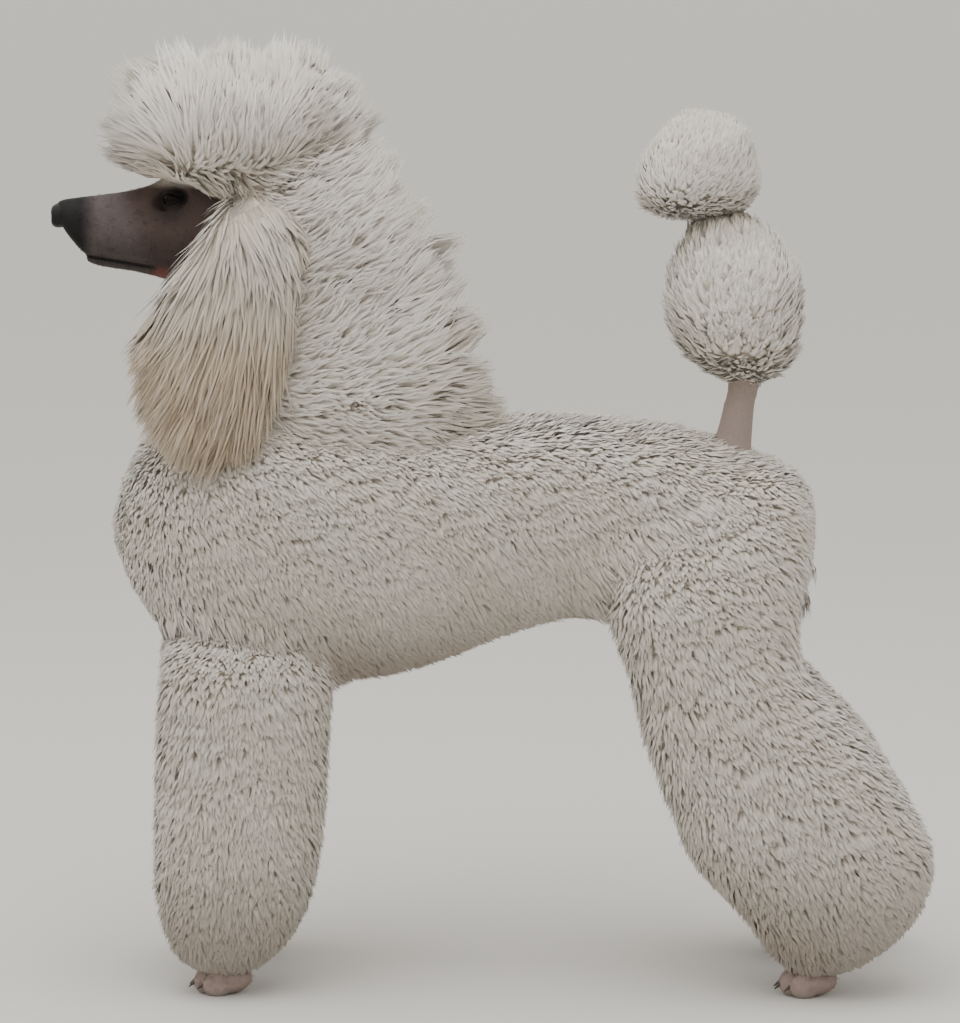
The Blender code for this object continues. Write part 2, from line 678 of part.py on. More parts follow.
def make_ear(word, side, neighbours):
    """The ear hangs from the side of the skull, hollow towards it, under rows of long locks."""
    rng = random.Random(SEED + 3)
    core = loft(moved(EAR_CORE, side=side), 8, 9, stagger=0.5)

    def lie(place, normal):
        return Vector((-0.40 + 5.0 * (place.x + 0.280), 0.10 * side, -1.0))

    def inner(place, normal):
        return normal.y * side < -0.2

    raise_locks(core, loft(moved(EAR, side=side), 14, 12), lie, inner, rng, lift=0.8, shag=0.12,
                sizes=(0.70, 0.42), stray=0.02)
    ear = add_object("ear_" + word, core, EAR_COAT)
    cup = blob("cup", (EAR_CUP.x, EAR_CUP.y * side, EAR_CUP.z), (0.018, 0.009, 0.026), 10, 7)
    boolean(ear, [cup], "DIFFERENCE")
    return clear_of(ear, neighbours)


def build():
    head, jaw, nose, eyes = make_head()
    chest, loin = make_torso()
    ears = [make_ear(word, side, [head, chest]) for word, side in SIDES]
    make_neck([head, jaw, chest] + ears)
    topknot = make_topknot([head] + eyes, ears)
    for ear in ears:
        clear_of(ear, [topknot])

    rng = random.Random(SEED + 4)
    tail_base = bar("tail_base", TAIL_ROOT, TAIL_DOCK, 0.022, 0.0165, 14)
    tail_base.data.materials.append(PALE_SKIN)
    clear_of(tail_base, [loin])
    tail_pom = add_object("tail_pom", plush(TAIL_POM, 7, 8, nowhere, rng, lean=(0, 0, 0.1)), COAT)
    clear_of(tail_pom, [tail_base])
    tail_tuft = add_object("tail_tuft", plush(TAIL_TUFT, 6, 8, nowhere, rng, lean=(0, 0, 0.1)), COAT)
    clear_of(tail_tuft, [tail_pom])

    near = near_test([loft(moved(TRUNK, inset=-0.004), 22, 20, square=2.3)])
    for word, side in SIDES:
        step = FAR_STEP if side > 0 else 0.0
        foot = make_foot("front_foot_" + word, -0.296 + step, side * STANCE_FRONT)
        leg = add_object("front_leg_" + word,
                         plush(FRONT_LEG, 7, 8, near, rng, x=step, side=side, y=STANCE_FRONT), COAT)
        clear_of(leg, [chest, foot])

        foot = make_foot("hind_foot_" + word, 0.344, side * STANCE_REAR)
        whole = plush(HIND_LEG, 11, 8, near, rng, side=side, y=STANCE_REAR, lean=(0.15, 0, -0.3))
        bmesh.ops.triangulate(whole, faces=whole.faces)
        above, below = KNEE + KNEE_WAY * JOINT_GAP / 2, KNEE - KNEE_WAY * JOINT_GAP / 2
        thigh = add_object("thigh_" + word, cut_flat(whole.copy(), above, -KNEE_WAY), COAT)
        clear_of(thigh, [loin])
        shank = add_object("hind_leg_" + word, cut_flat(whole, below, KNEE_WAY), COAT)
        clear_of(shank, [foot])


clear_scene()
dog = bpy.data.collections.new("standard_poodle")
bpy.context.scene.collection.children.link(dog)
COAT = material("coat", WHITE, 0.9)
EAR_COAT = material("ear_coat", CREAM, 0.9)
FACE_SKIN = material("face_skin", SKIN, 0.7)
PALE_SKIN = material("pale_skin", PINK, 0.7)
FOOT_SKIN = material("foot_skin", SKIN, 0.7)
NOSE_LEATHER = material("nose_leather", BLACK, 0.35)
EYE_BROWN = material("eye_brown", EYE, 0.1)
build()
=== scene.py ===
import math

import bmesh
import bpy
import numpy as np
from mathutils import Matrix, Vector
from mathutils.bvhtree import BVHTree
from mathutils.kdtree import KDTree


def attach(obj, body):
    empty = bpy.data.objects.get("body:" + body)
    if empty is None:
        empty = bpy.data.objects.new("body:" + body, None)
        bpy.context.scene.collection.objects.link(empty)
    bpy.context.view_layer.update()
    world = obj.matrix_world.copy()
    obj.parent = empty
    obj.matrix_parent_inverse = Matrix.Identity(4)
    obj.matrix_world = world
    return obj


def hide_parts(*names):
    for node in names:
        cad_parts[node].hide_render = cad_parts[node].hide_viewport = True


# A standard poodle in a full show coat, life size, in metres. It faces -X and its left side is -Y.
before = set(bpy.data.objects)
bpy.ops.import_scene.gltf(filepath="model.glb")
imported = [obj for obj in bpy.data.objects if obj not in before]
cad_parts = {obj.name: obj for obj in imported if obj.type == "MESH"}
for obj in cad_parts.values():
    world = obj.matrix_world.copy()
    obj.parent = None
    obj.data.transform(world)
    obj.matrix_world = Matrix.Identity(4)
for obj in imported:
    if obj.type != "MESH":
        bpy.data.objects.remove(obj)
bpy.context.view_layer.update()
random = np.random.default_rng(11)
sides = {"left": -1, "right": 1}


# Colours and nodes

def linear(hexColour):
    parts = [int(hexColour[i:i + 2], 16) / 255 for i in (1, 3, 5)]
    return [c / 12.92 if c <= 0.04045 else ((c + 0.055) / 1.055) ** 2.4 for c in parts] + [1.0]


def newMaterial(name, finish):
    # finish is what stays the same all over, set on the shader's own sockets
    made = bpy.data.materials.new(name)
    made.use_nodes = True
    shader = made.node_tree.nodes["Principled BSDF"]
    for key, value in finish.items():
        shader.inputs[key].default_value = value
    return made, made.node_tree, shader


def addNode(tree, kind, inputs=None, **settings):
    node = tree.nodes.new(kind)
    for key, value in settings.items():
        setattr(node, key, value)
    for key, value in (inputs or {}).items():
        if isinstance(value, bpy.types.NodeSocket):
            tree.links.new(value, node.inputs[key])
        else:
            node.inputs[key].default_value = value
    return node


def mixColour(tree, amount, first, second, way="MIX"):
    mix = addNode(tree, "ShaderNodeMix", {0: amount, 6: first, 7: second}, data_type="RGBA", blend_type=way)
    return mix.outputs[2]


# Shapes: a station is x, z, depth, width, y and tilt. Depth and width are half sizes along the section's
# own axis and across it. The same stations shape the solids of the frame.

def stations(rows, tilt=0):
    # a row may leave out its tilt, or its y of zero and its tilt
    return [row + (0, tilt)[len(row) - 4:] for row in rows]


trunk = stations([
    (0.347, 0.508, 0.036, 0.034),    # rump
    (0.334, 0.490, 0.078, 0.074),
    (0.290, 0.489, 0.099, 0.098),    # croup
    (0.200, 0.506, 0.112, 0.108),
    (0.100, 0.516, 0.113, 0.110),    # loin and tuck-up
    (0.020, 0.508, 0.123, 0.122),    # last rib
    (-0.080, 0.4945, 0.1475, 0.140),
    (-0.180, 0.495, 0.165, 0.152),    # deepest part of the chest
    (-0.270, 0.503, 0.165, 0.152),    # shoulder
    (-0.335, 0.5075, 0.1405, 0.136),
    (-0.375, 0.5105, 0.1075, 0.108),
    (-0.400, 0.5085, 0.0635, 0.068),
    (-0.411, 0.505, 0.030, 0.032),    # breastbone
], tilt=90)
maneTips = stations([
    (-0.175, 0.560, 0.190, 0.118),
    (-0.172, 0.640, 0.200, 0.122),
    (-0.171, 0.700, 0.189, 0.112),
    (-0.1775, 0.760, 0.1675, 0.108),
    (-0.184, 0.820, 0.148, 0.108),
    (-0.188, 0.870, 0.123, 0.106),
    (-0.189, 0.920, 0.0915, 0.092),
    (-0.175, 0.960, 0.040, 0.055),
])
neck = stations([
    (-0.170, 0.560, 0.142, 0.100),
    (-0.180, 0.640, 0.135, 0.096),
    (-0.200, 0.700, 0.118, 0.088),
    (-0.205, 0.755, 0.112, 0.080),
    (-0.220, 0.820, 0.088, 0.074),
    (-0.224, 0.870, 0.072, 0.068),
    (-0.230, 0.920, 0.046, 0.046),
])
topknotTips = stations([
    (-0.330, 0.872, 0.050, 0.062),
    (-0.306, 0.892, 0.100, 0.098),
    (-0.290, 0.920, 0.145, 0.116),
    (-0.282, 0.955, 0.162, 0.124),
    (-0.283, 0.990, 0.150, 0.120),
    (-0.285, 1.016, 0.120, 0.100),
    (-0.2875, 1.038, 0.072, 0.060),
    (-0.290, 1.047, 0.020, 0.020),
])
topknot = stations([
    (-0.272, 0.868, 0.034, 0.044),
    (-0.278, 0.882, 0.076, 0.070),
    (-0.276, 0.900, 0.098, 0.082),
    (-0.272, 0.925, 0.102, 0.086),
    (-0.268, 0.950, 0.084, 0.072),
    (-0.270, 0.972, 0.050, 0.042),
    (-0.272, 0.982, 0.014, 0.012),
])
earTips = stations([
    (-0.243, 0.888, 0.016, 0.010, 0.064),
    (-0.252, 0.862, 0.042, 0.020, 0.084),
    (-0.266, 0.820, 0.062, 0.027, 0.103),
    (-0.285, 0.770, 0.084, 0.031, 0.113),
    (-0.300, 0.722, 0.096, 0.033, 0.119),
    (-0.306, 0.672, 0.090, 0.032, 0.125),
    (-0.304, 0.622, 0.074, 0.026, 0.134),
    (-0.303, 0.582, 0.048, 0.018, 0.142),
    (-0.303, 0.562, 0.020, 0.010, 0.145),
])
ear = stations([
    (-0.243, 0.886, 0.012, 0.007, 0.062),
    (-0.250, 0.862, 0.034, 0.012, 0.080),
    (-0.262, 0.820, 0.050, 0.015, 0.099),
    (-0.279, 0.770, 0.062, 0.016, 0.108),
    (-0.294, 0.722, 0.064, 0.016, 0.114),
    (-0.300, 0.676, 0.052, 0.014, 0.120),
    (-0.302, 0.636, 0.026, 0.009, 0.128),
])
frontLeg = stations([
    (-0.268, 0.425, 0.060, 0.036, -0.034),
    (-0.268, 0.395, 0.085, 0.054, -0.016),
    (-0.268, 0.360, 0.097, 0.064, 0),
    (-0.272, 0.300, 0.097, 0.067, 0),
    (-0.276, 0.200, 0.096, 0.067, 0),
    (-0.283, 0.120, 0.090, 0.066, 0),
    (-0.288, 0.070, 0.075, 0.060, 0),
    (-0.293, 0.042, 0.056, 0.048, 0),
    (-0.295, 0.030, 0.038, 0.034, 0),
])
hindLeg = [
    (0.252, 0.565, 0.062, 0.026, -0.042, 0),
    (0.247, 0.535, 0.094, 0.042, -0.036, 0),
    (0.236, 0.480, 0.110, 0.054, -0.022, 0),
    (0.228, 0.430, 0.108, 0.061, -0.013, 0),
    (0.231, 0.390, 0.103, 0.062, -0.008, 2),
    (0.243, 0.350, 0.095, 0.060, -0.004, 6),
    (0.263, 0.305, 0.108, 0.062, 0, 10),
    (0.302, 0.243, 0.122, 0.070, 0, 12),
    (0.329, 0.191, 0.129, 0.076, 0, 10),
    (0.352, 0.148, 0.131, 0.078, 0, 6),
    (0.362, 0.108, 0.112, 0.074, 0, 0),
    (0.366, 0.075, 0.089, 0.064, 0, 0),
    (0.360, 0.045, 0.060, 0.048, 0, 0),
    (0.348, 0.030, 0.036, 0.034, 0, 0),
]
tailPom = stations([
    (0.277, 0.6645, 0.030, 0.028),
    (0.276, 0.675, 0.050, 0.048),
    (0.268, 0.700, 0.072, 0.068),
    (0.262, 0.745, 0.081, 0.076),
    (0.262, 0.790, 0.076, 0.070),
    (0.258, 0.825, 0.055, 0.052),
    (0.250, 0.848, 0.034, 0.034),
])
tailTuft = [
    (0.249, 0.8485, 0.034, 0.034, 0, 12),
    (0.236, 0.862, 0.062, 0.056, 0, 20),
    (0.220, 0.885, 0.073, 0.066, 0, 22),
    (0.214, 0.915, 0.068, 0.062, 0, 22),
    (0.211, 0.940, 0.046, 0.044, 0, 20),
    (0.211, 0.954, 0.018, 0.018, 0, 20),
]
tailBase = stations([
    (0.256, 0.565, 0.024, 0.022),
    (0.262, 0.595, 0.022, 0.020),
    (0.269, 0.635, 0.018, 0.0175),
    (0.276, 0.680, 0.0165, 0.016),
    (0.272, 0.740, 0.013, 0.013),
    (0.262, 0.810, 0.010, 0.010),
    (0.235, 0.880, 0.008, 0.008),
])
head = [
    (-0.4690, 0.8345, 0.0110, 0.0110, 0, 118),
    (-0.4655, 0.8335, 0.0225, 0.0180, 0, 118),
    (-0.4580, 0.8320, 0.0320, 0.0222, 0, 115),
    (-0.4430, 0.8300, 0.0360, 0.0240, 0, 108),
    (-0.4240, 0.8290, 0.0385, 0.0258, 0, 100),
    (-0.4050, 0.8285, 0.0415, 0.0276, 0, 94),    # middle of the muzzle
    (-0.3850, 0.8285, 0.0460, 0.0305, 0, 90),
    (-0.3680, 0.8295, 0.0510, 0.0345, 0, 90),    # stop
    (-0.3500, 0.8320, 0.0590, 0.0410, 0, 90),    # eyes
    (-0.3300, 0.8340, 0.0660, 0.0480, 0, 90),
    (-0.3000, 0.8370, 0.0700, 0.0535, 0, 90),    # cheeks
    (-0.2750, 0.8410, 0.0670, 0.0545, 0, 90),
    (-0.2550, 0.8460, 0.0580, 0.0500, 0, 90),
    (-0.2400, 0.8530, 0.0410, 0.0380, 0, 90),    # occiput
    (-0.2330, 0.8560, 0.0200, 0.0200, 0, 90),
]
nose = stations([
    (-0.4815, 0.8450, 0.0045, 0.0070),
    (-0.4800, 0.8445, 0.0105, 0.0125),
    (-0.4740, 0.8450, 0.0135, 0.0160),
    (-0.4660, 0.8475, 0.0140, 0.0168),
    (-0.4580, 0.8510, 0.0120, 0.0150),
    (-0.4530, 0.8530, 0.0085, 0.0110),
], tilt=90)
jaw = stations([
    (-0.4430, 0.8000, 0.0045, 0.0080),
    (-0.4370, 0.7985, 0.0062, 0.0118),
    (-0.4250, 0.7970, 0.0078, 0.0142),
    (-0.4080, 0.7955, 0.0090, 0.0162),
    (-0.3900, 0.7940, 0.0100, 0.0185),
    (-0.3600, 0.7920, 0.0115, 0.0235),
], tilt=90)
stance = {"front": 0.088, "rear": 0.098, "farStep": -0.012}
coatDepth = 0.014    # from the tips of the coat in to the skin
pomDepth = coatDepth + 0.006
tuftDepth = coatDepth + 0.004
trunkSquare = 2.3    # how square the trunk's section is, where 2 is an ellipse


def spreadStations(rows, count):
    # stations evenly spaced over the surface, on a smooth curve through the rows
    rows = np.array(rows, float)
    last = len(rows) - 1
    t = np.linspace(0, last, 241)
    i = np.minimum(t.astype(int), last - 1)
    f = (t - i)[:, None]
    a, b = rows[np.maximum(i - 1, 0)], rows[i]
    c, d = rows[i + 1], rows[np.minimum(i + 2, last)]
    fine = 0.5 * (2 * b + (c - a) * f + (2 * a - 5 * b + 4 * c - d) * f ** 2
                  + (3 * b - a - 3 * c + d) * f ** 3)
    along = np.concatenate([[0], np.cumsum(np.linalg.norm(np.diff(fine[:, :4], axis=0), axis=1))])
    wanted = np.linspace(0, along[-1], count)
    return np.array([np.interp(wanted, along, column) for column in fine.T]).T


def placed(rows, x=0.0, side=1, y=0.0, inset=0.0):
    return [(r[0] + x, r[1], r[2] - inset, r[3] - inset, side * (r[4] + y), r[5]) for r in rows]


def legsOf(side, inset=0.0):
    # the front and the hind leg of one side, where they stand
    step = stance["farStep"] if side > 0 else 0
    return (placed(frontLeg, step, side, stance["front"], inset),
            placed(hindLeg, 0, side, stance["rear"], inset))


def ringEdges(ring):
    return list({edge for vert in ring for edge in vert.link_edges})


def loft(rows, rings, around, square=2.2):
    bm = bmesh.new()
    loops = []
    for x, z, depth, width, y, tilt in spreadStations(rows, rings):
        ring = bmesh.ops.create_circle(bm, cap_ends=False, segments=around, radius=1)["verts"]
        lean = math.radians(tilt)
        for vert in ring:
            u = math.copysign(abs(vert.co.x) ** (2 / square), vert.co.x) * depth
            v = math.copysign(abs(vert.co.y) ** (2 / square), vert.co.y) * width
            vert.co = (x + u * math.cos(lean), y + v, z + u * math.sin(lean))
        loops.append(ringEdges(ring))
    for low, high in zip(loops, loops[1:]):
        bmesh.ops.bridge_loops(bm, edges=low + high)
    bmesh.ops.holes_fill(bm, edges=loops[0] + loops[-1])
    bmesh.ops.recalc_face_normals(bm, faces=bm.faces)
    return bm


def joined(parts):
    whole = bmesh.new()
    for part in parts:
        mesh = bpy.data.meshes.new("part")
        part.to_mesh(mesh)
        part.free()
        whole.from_mesh(mesh)
        bpy.data.meshes.remove(mesh)
    return whole


def newPiece(name, bm, material=None):
    mesh = bpy.data.meshes.new(name)
    bm.to_mesh(mesh)
    bm.free()
    piece = bpy.data.objects.new(name, mesh)
    bpy.context.scene.collection.objects.link(piece)
    if material:
        mesh.materials.append(material)
    mesh.shade_smooth()
    return piece


def numbersOf(rows, name, size=1, kind=float):
    # one number or vector of each row of a mesh's data
    found = np.empty(len(rows) * size, kind)
    rows.foreach_get(name, found)
    return found.reshape(-1, size) if size > 1 else found


def relax(bm, factor):
    bmesh.ops.smooth_vert(bm, verts=bm.verts, factor=factor, use_axis_x=True, use_axis_y=True,
                          use_axis_z=True)


def fused(parts, voxel, smoothing):
    # overlapping closed parts as one even surface
    piece = newPiece("fused", joined(parts))
    step = piece.modifiers.new("remesh", "REMESH")
    step.mode = "VOXEL"
    step.voxel_size = voxel
    step.use_smooth_shade = True
    graph = bpy.context.evaluated_depsgraph_get()
    bm = bmesh.new()
    bm.from_mesh(piece.evaluated_get(graph).data)
    bpy.data.objects.remove(piece)
    for _ in range(smoothing):
        relax(bm, 0.5)
    return bm


def smoothstep(low, high, value):
    t = np.clip((value - low) / (high - low), 0, 1)
    return t * t * (3 - 2 * t)


def spot(x, z, middle, size):
    # squared distance from a middle, in its half sizes
    return ((x - middle[0]) / size[0]) ** 2 + ((z - middle[1]) / size[1]) ** 2


def ball(place, size, segments=24, rings=14):
    bm = bmesh.new()
    bmesh.ops.create_uvsphere(bm, u_segments=segments, v_segments=rings, radius=1)
    bmesh.ops.scale(bm, vec=size, verts=bm.verts)
    bmesh.ops.translate(bm, vec=place, verts=bm.verts)
    return bm


# Camera, light and floor. The camera stands as the photograph's did: square to the dog's side, a little
# higher than its head, from about four metres.

view = {"distance": 4.3, "elevation": 8, "target": Vector((-0.0149, 0, 0.5194)), "metresPerPixel": 0.0011,
        "imageHeight": 1023, "farthest": 600}
camera = bpy.data.objects.new("camera", bpy.data.cameras.new("camera"))
bpy.context.scene.collection.objects.link(camera)
tip = math.radians(view["elevation"])
forward = Vector((0, math.cos(tip), -math.sin(tip)))
camera.location = view["target"] - forward * view["distance"]
camera.rotation_euler = forward.to_track_quat("-Z", "Y").to_euler()
camera.data.sensor_width = 36
camera.data.lens = 36 * view["distance"] / view["metresPerPixel"] / view["imageHeight"]
camera.data.clip_end = view["farthest"]
bpy.context.scene.camera = camera

studio = {"floor": "#c6c4c0", "floorHalf": 200, "sky": "#f7f4ef", "skyStrength": 1.37,
          # name, place, size and power of each light, and what they point at
          "lights": (("top_light", Vector((-0.3, -0.9, 3.2)), 3.2, 95),
                     ("front_fill", Vector((-2.6, -2.4, 1.6)), 2.4, 8)),
          "aim": Vector((0, 0, 0.55))}


def buildStudio():
    bm = bmesh.new()
    bmesh.ops.create_grid(bm, x_segments=1, y_segments=1, size=studio["floorHalf"])
    paper = newMaterial("studio_paper", {"Base Color": linear(studio["floor"]), "Roughness": 0.9})[0]
    floor = newPiece("studio_floor", bm, paper)

    world = bpy.data.worlds.new("studio_sky")
    bpy.context.scene.world = world
    world.use_nodes = True
    sky = world.node_tree.nodes["Background"].inputs
    sky["Color"].default_value = linear(studio["sky"])
    sky["Strength"].default_value = studio["skyStrength"]

    for name, place, size, power in studio["lights"]:
        data = bpy.data.lights.new(name, "AREA")
        data.size = size
        data.energy = power
        light = bpy.data.objects.new(name, data)
        light.location = place
        light.rotation_euler = (studio["aim"] - place).to_track_quat("-Z", "Y").to_euler()
        bpy.context.scene.collection.objects.link(light)


buildStudio()
print("studio ready")


# Materials

def coatMaterial():
    # Poodle coat: dense crimped wool, matt, with a soft bright rim where light grazes the tips.
    # The attribute holds the share of the length, a draw for each lock, the cream tint and the darkening
    # below:
    # painted shade under the belly, and darker towards the bottom of the legs.
    made, tree, shader = newMaterial("curled_wool_coat", {
        "Roughness": 0.88, "Specular IOR Level": 0.25,
        # light passes through fine white hair
        "Subsurface Weight": 0.55, "Subsurface Radius": (1.0, 0.92, 0.82), "Subsurface Scale": 0.012,
        "Sheen Weight": 0.12, "Sheen Roughness": 0.6, "Sheen Tint": linear("#fff6ea")})
    mark = addNode(tree, "ShaderNodeAttribute", attribute_name="coatMark")
    parts = addNode(tree, "ShaderNodeSeparateColor", {0: mark.outputs["Color"]})
    place = addNode(tree, "ShaderNodeTexCoord").outputs["Object"]
    # soft drifts of tone about 60 mm across, as a washed and brushed coat has
    drift = addNode(tree, "ShaderNodeTexNoise", {"Vector": place, "Scale": 16.0, "Detail": 3.0})
    white = mixColour(tree, drift.outputs["Fac"], linear(coat["shade"]), linear(coat["white"]))
    tinted = mixColour(tree, parts.outputs["Blue"], white, linear(coat["cream"]))
    # painted shade under the belly, and the legs darker towards the bottom
    lowDarkened = mixColour(tree, mark.outputs["Alpha"], tinted, linear(coat["lowDark"]))
    # painted shade: each tuft is darker towards its root, where the tufts shade each other
    root = mixColour(tree, 1.0, lowDarkened, linear(coat["root"]), "MULTIPLY")
    along = addNode(tree, "ShaderNodeMapRange", {0: parts.outputs["Red"], 1: 0.0, 2: 0.75})
    shaded = mixColour(tree, along.outputs[0], root, lowDarkened)
    lockTone = addNode(tree, "ShaderNodeMapRange", {0: parts.outputs["Green"], 3: 0.95, 4: 1.03})
    toned = addNode(tree, "ShaderNodeVectorMath", {0: shaded, 3: lockTone.outputs[0]}, operation="SCALE")
    tree.links.new(toned.outputs[0], shader.inputs["Base Color"])
    # crimp about 1 mm across, as coarse as it needs to show
    crimp = addNode(tree, "ShaderNodeTexNoise", {"Vector": place, "Scale": 900.0, "Detail": 1.0})
    bump = addNode(tree, "ShaderNodeBump",
                   {"Height": crimp.outputs["Fac"], "Strength": 0.15, "Distance": 0.0006})
    tree.links.new(bump.outputs[0], shader.inputs["Normal"])
    return made


def skinMaterial():
    # Closely shaved skin: dark pigment on the muzzle, pinker on the cheeks, fine stubble, slightly oily.
    # The attribute holds dark pigment, warmth, the rosy patch and how far the skin is coated.
    made, tree, shader = newMaterial("shaved_skin", {"Roughness": 0.66, "Specular IOR Level": 0.22})
    mark = addNode(tree, "ShaderNodeAttribute", attribute_name="skinMark")
    parts = addNode(tree, "ShaderNodeSeparateColor", {0: mark.outputs["Color"]})
    place = addNode(tree, "ShaderNodeTexCoord").outputs["Object"]
    # mottled pigment in patches about 8 mm across
    mottle = addNode(tree, "ShaderNodeTexNoise", {"Vector": place, "Scale": 120.0, "Detail": 4.0})
    base = mixColour(tree, mottle.outputs["Fac"], linear(skin["pale"]), linear(skin["brown"]))
    warm = mixColour(tree, parts.outputs["Green"], base, linear(skin["warm"]))
    rosy = mixColour(tree, parts.outputs["Blue"], warm, linear(skin["rosy"]))
    dark = mixColour(tree, parts.outputs["Red"], rosy, linear(skin["dark"]))
    coated = mixColour(tree, mark.outputs["Alpha"], dark, linear(skin["underCoat"]))
    # stubble about 1 mm apart
    stubble = addNode(tree, "ShaderNodeTexNoise", {"Vector": place, "Scale": 1000.0, "Detail": 2.0})
    speckled = mixColour(tree, 0.35, coated, stubble.outputs["Fac"], "OVERLAY")
    tree.links.new(speckled, shader.inputs["Base Color"])
    # shallow folds about 4 mm apart
    folds = addNode(tree, "ShaderNodeTexNoise", {"Vector": place, "Scale": 260.0, "Detail": 3.0})
    fine = addNode(tree, "ShaderNodeBump",
                   {"Height": stubble.outputs["Fac"], "Strength": 0.5, "Distance": 0.0004})
    bump = addNode(tree, "ShaderNodeBump",
                   {"Height": folds.outputs["Fac"], "Strength": 0.35, "Distance": 0.0012,
                    "Normal": fine.outputs[0]})
    tree.links.new(bump.outputs[0], shader.inputs["Normal"])
    return made


def noseMaterial():
    # Nose leather: moist black skin in small raised cells, with soft gloss.
    made, tree, shader = newMaterial("moist_nose_leather", {"Roughness": 0.42, "Specular IOR Level": 0.22})
    place = addNode(tree, "ShaderNodeTexCoord").outputs["Object"]
    # cells about 1.2 mm across
    cells = addNode(tree, "ShaderNodeTexVoronoi", {"Vector": place, "Scale": 800.0},
                    feature="DISTANCE_TO_EDGE")
    raised = addNode(tree, "ShaderNodeMapRange", {0: cells.outputs["Distance"], 1: 0.0, 2: 0.25})
    tone = mixColour(tree, raised.outputs[0], linear("#040404"), linear("#0d0c0c"))
    tree.links.new(tone, shader.inputs["Base Color"])
    bump = addNode(tree, "ShaderNodeBump", {"Height": raised.outputs[0], "Strength": 0.5, "Distance": 0.0005})
    tree.links.new(bump.outputs[0], shader.inputs["Normal"])
    return made


def clawMaterial():
    # Claw: dark horn, ground down, with streaks along its length and a dull gloss.
    made, tree, shader = newMaterial("dark_horn_claw", {"Roughness": 0.42})
    place = addNode(tree, "ShaderNodeTexCoord").outputs["Object"]
    # streaks about 17 mm long and 1 to 2 mm across
    streaks = addNode(tree, "ShaderNodeMapping", {0: place, 3: (60.0, 900.0, 500.0)})
    grain = addNode(tree, "ShaderNodeTexNoise", {"Vector": streaks.outputs[0], "Scale": 1.0, "Detail": 3.0})
    tone = mixColour(tree, grain.outputs["Fac"], linear("#1c1613"), linear("#4b3d33"))
    tree.links.new(tone, shader.inputs["Base Color"])
    return made


# the root colour is painted shade near each tuft's root; the brown is painted shade under the belly and
# darkens the legs towards the bottom
coat = {"white": "#faf2e4", "shade": "#f3e9d9", "cream": "#dcc3a2", "lowDark": "#8a7460", "root": "#f0e8dc"}
skin = {"pale": "#544b4a", "brown": "#463d3c", "warm": "#40332f", "rosy": "#7a443c", "dark": "#080707",
        "underCoat": "#efe7da", "stubCoat": 0.17, "footCoat": 0.20}
coatFinish = coatMaterial()
skinFinish = skinMaterial()
noseFinish = noseMaterial()
clawFinish = clawMaterial()
print("materials ready")


# Head: the skull, muzzle and lower jaw as one skin, with the line of the mouth pressed in

eye = {"radius": 0.0122, "place": Vector((-0.345, 0.0292, 0.864)),
       "look": Vector((-0.48, 0.86, 0.12)).normalized(), "innerCorner": Vector((-0.86, -0.42, -0.20)),
       "width": 0.0120, "height": 0.0070,
       # the lids' thickness, and in half widths of the eye where they run out into the face and where
       # the skin turns in behind them, by turnIn; behind is where the eye's own region ends
       "lid": 0.0016, "lidFade": (1.25, 2.1), "opening": (0.86, 1.06), "turnIn": 0.008, "behind": -0.006,
       "deep": 0.03}
mouth = {"corner": Vector((-0.367, 0, 0.790)), "way": Vector((0.155, 0, 1)).normalized(), "front": -0.450,
         "groove": 0.0026, "depth": 0.0030, "sharpness": 1.3,
         # height over the line, spread and rise of each lip
         "lips": ((0.0045, 0.0028, 0.0011), (-0.0040, 0.0022, 0.0008))}
# place, half sizes and rise of the hollow below the eye and of the brow over it
headForms = (((-0.378, 0.034, 0.846), (0.024, 0.02, 0.011), -0.0026),
             ((-0.340, 0.036, 0.881), (0.020, 0.02, 0.006), 0.0016))


def eyeFrame(side):
    # the eye's middle, and axes along its lids, up across them and out along its line of sight
    place, look, inner = (Vector((eye[key].x, eye[key].y * side, eye[key].z))
                          for key in ("place", "look", "innerCorner"))
    along = (inner - look * inner.dot(look)).normalized()
    up = along.cross(look) * side
    return place, along, (up if up.z > 0 else -up), look


def besideEye(points, side):
    # how far points are along the lids, up across them and out, and from the middle in half widths
    place, along, up, look = (np.array(v) for v in eyeFrame(side))
    local = points - place
    a, b, c = local @ along, local @ up, local @ look
    return a, b, c, np.hypot(a / eye["width"], b / eye["height"])


def besideMouth(points, start, end):
    # height over the line of the mouth, and a share that grows forwards from start to end, beside its corner
    height = (points - np.array(mouth["corner"])) @ np.array(mouth["way"])
    return height, smoothstep(mouth["corner"].x + start, mouth["corner"].x + end, points[:, 0])


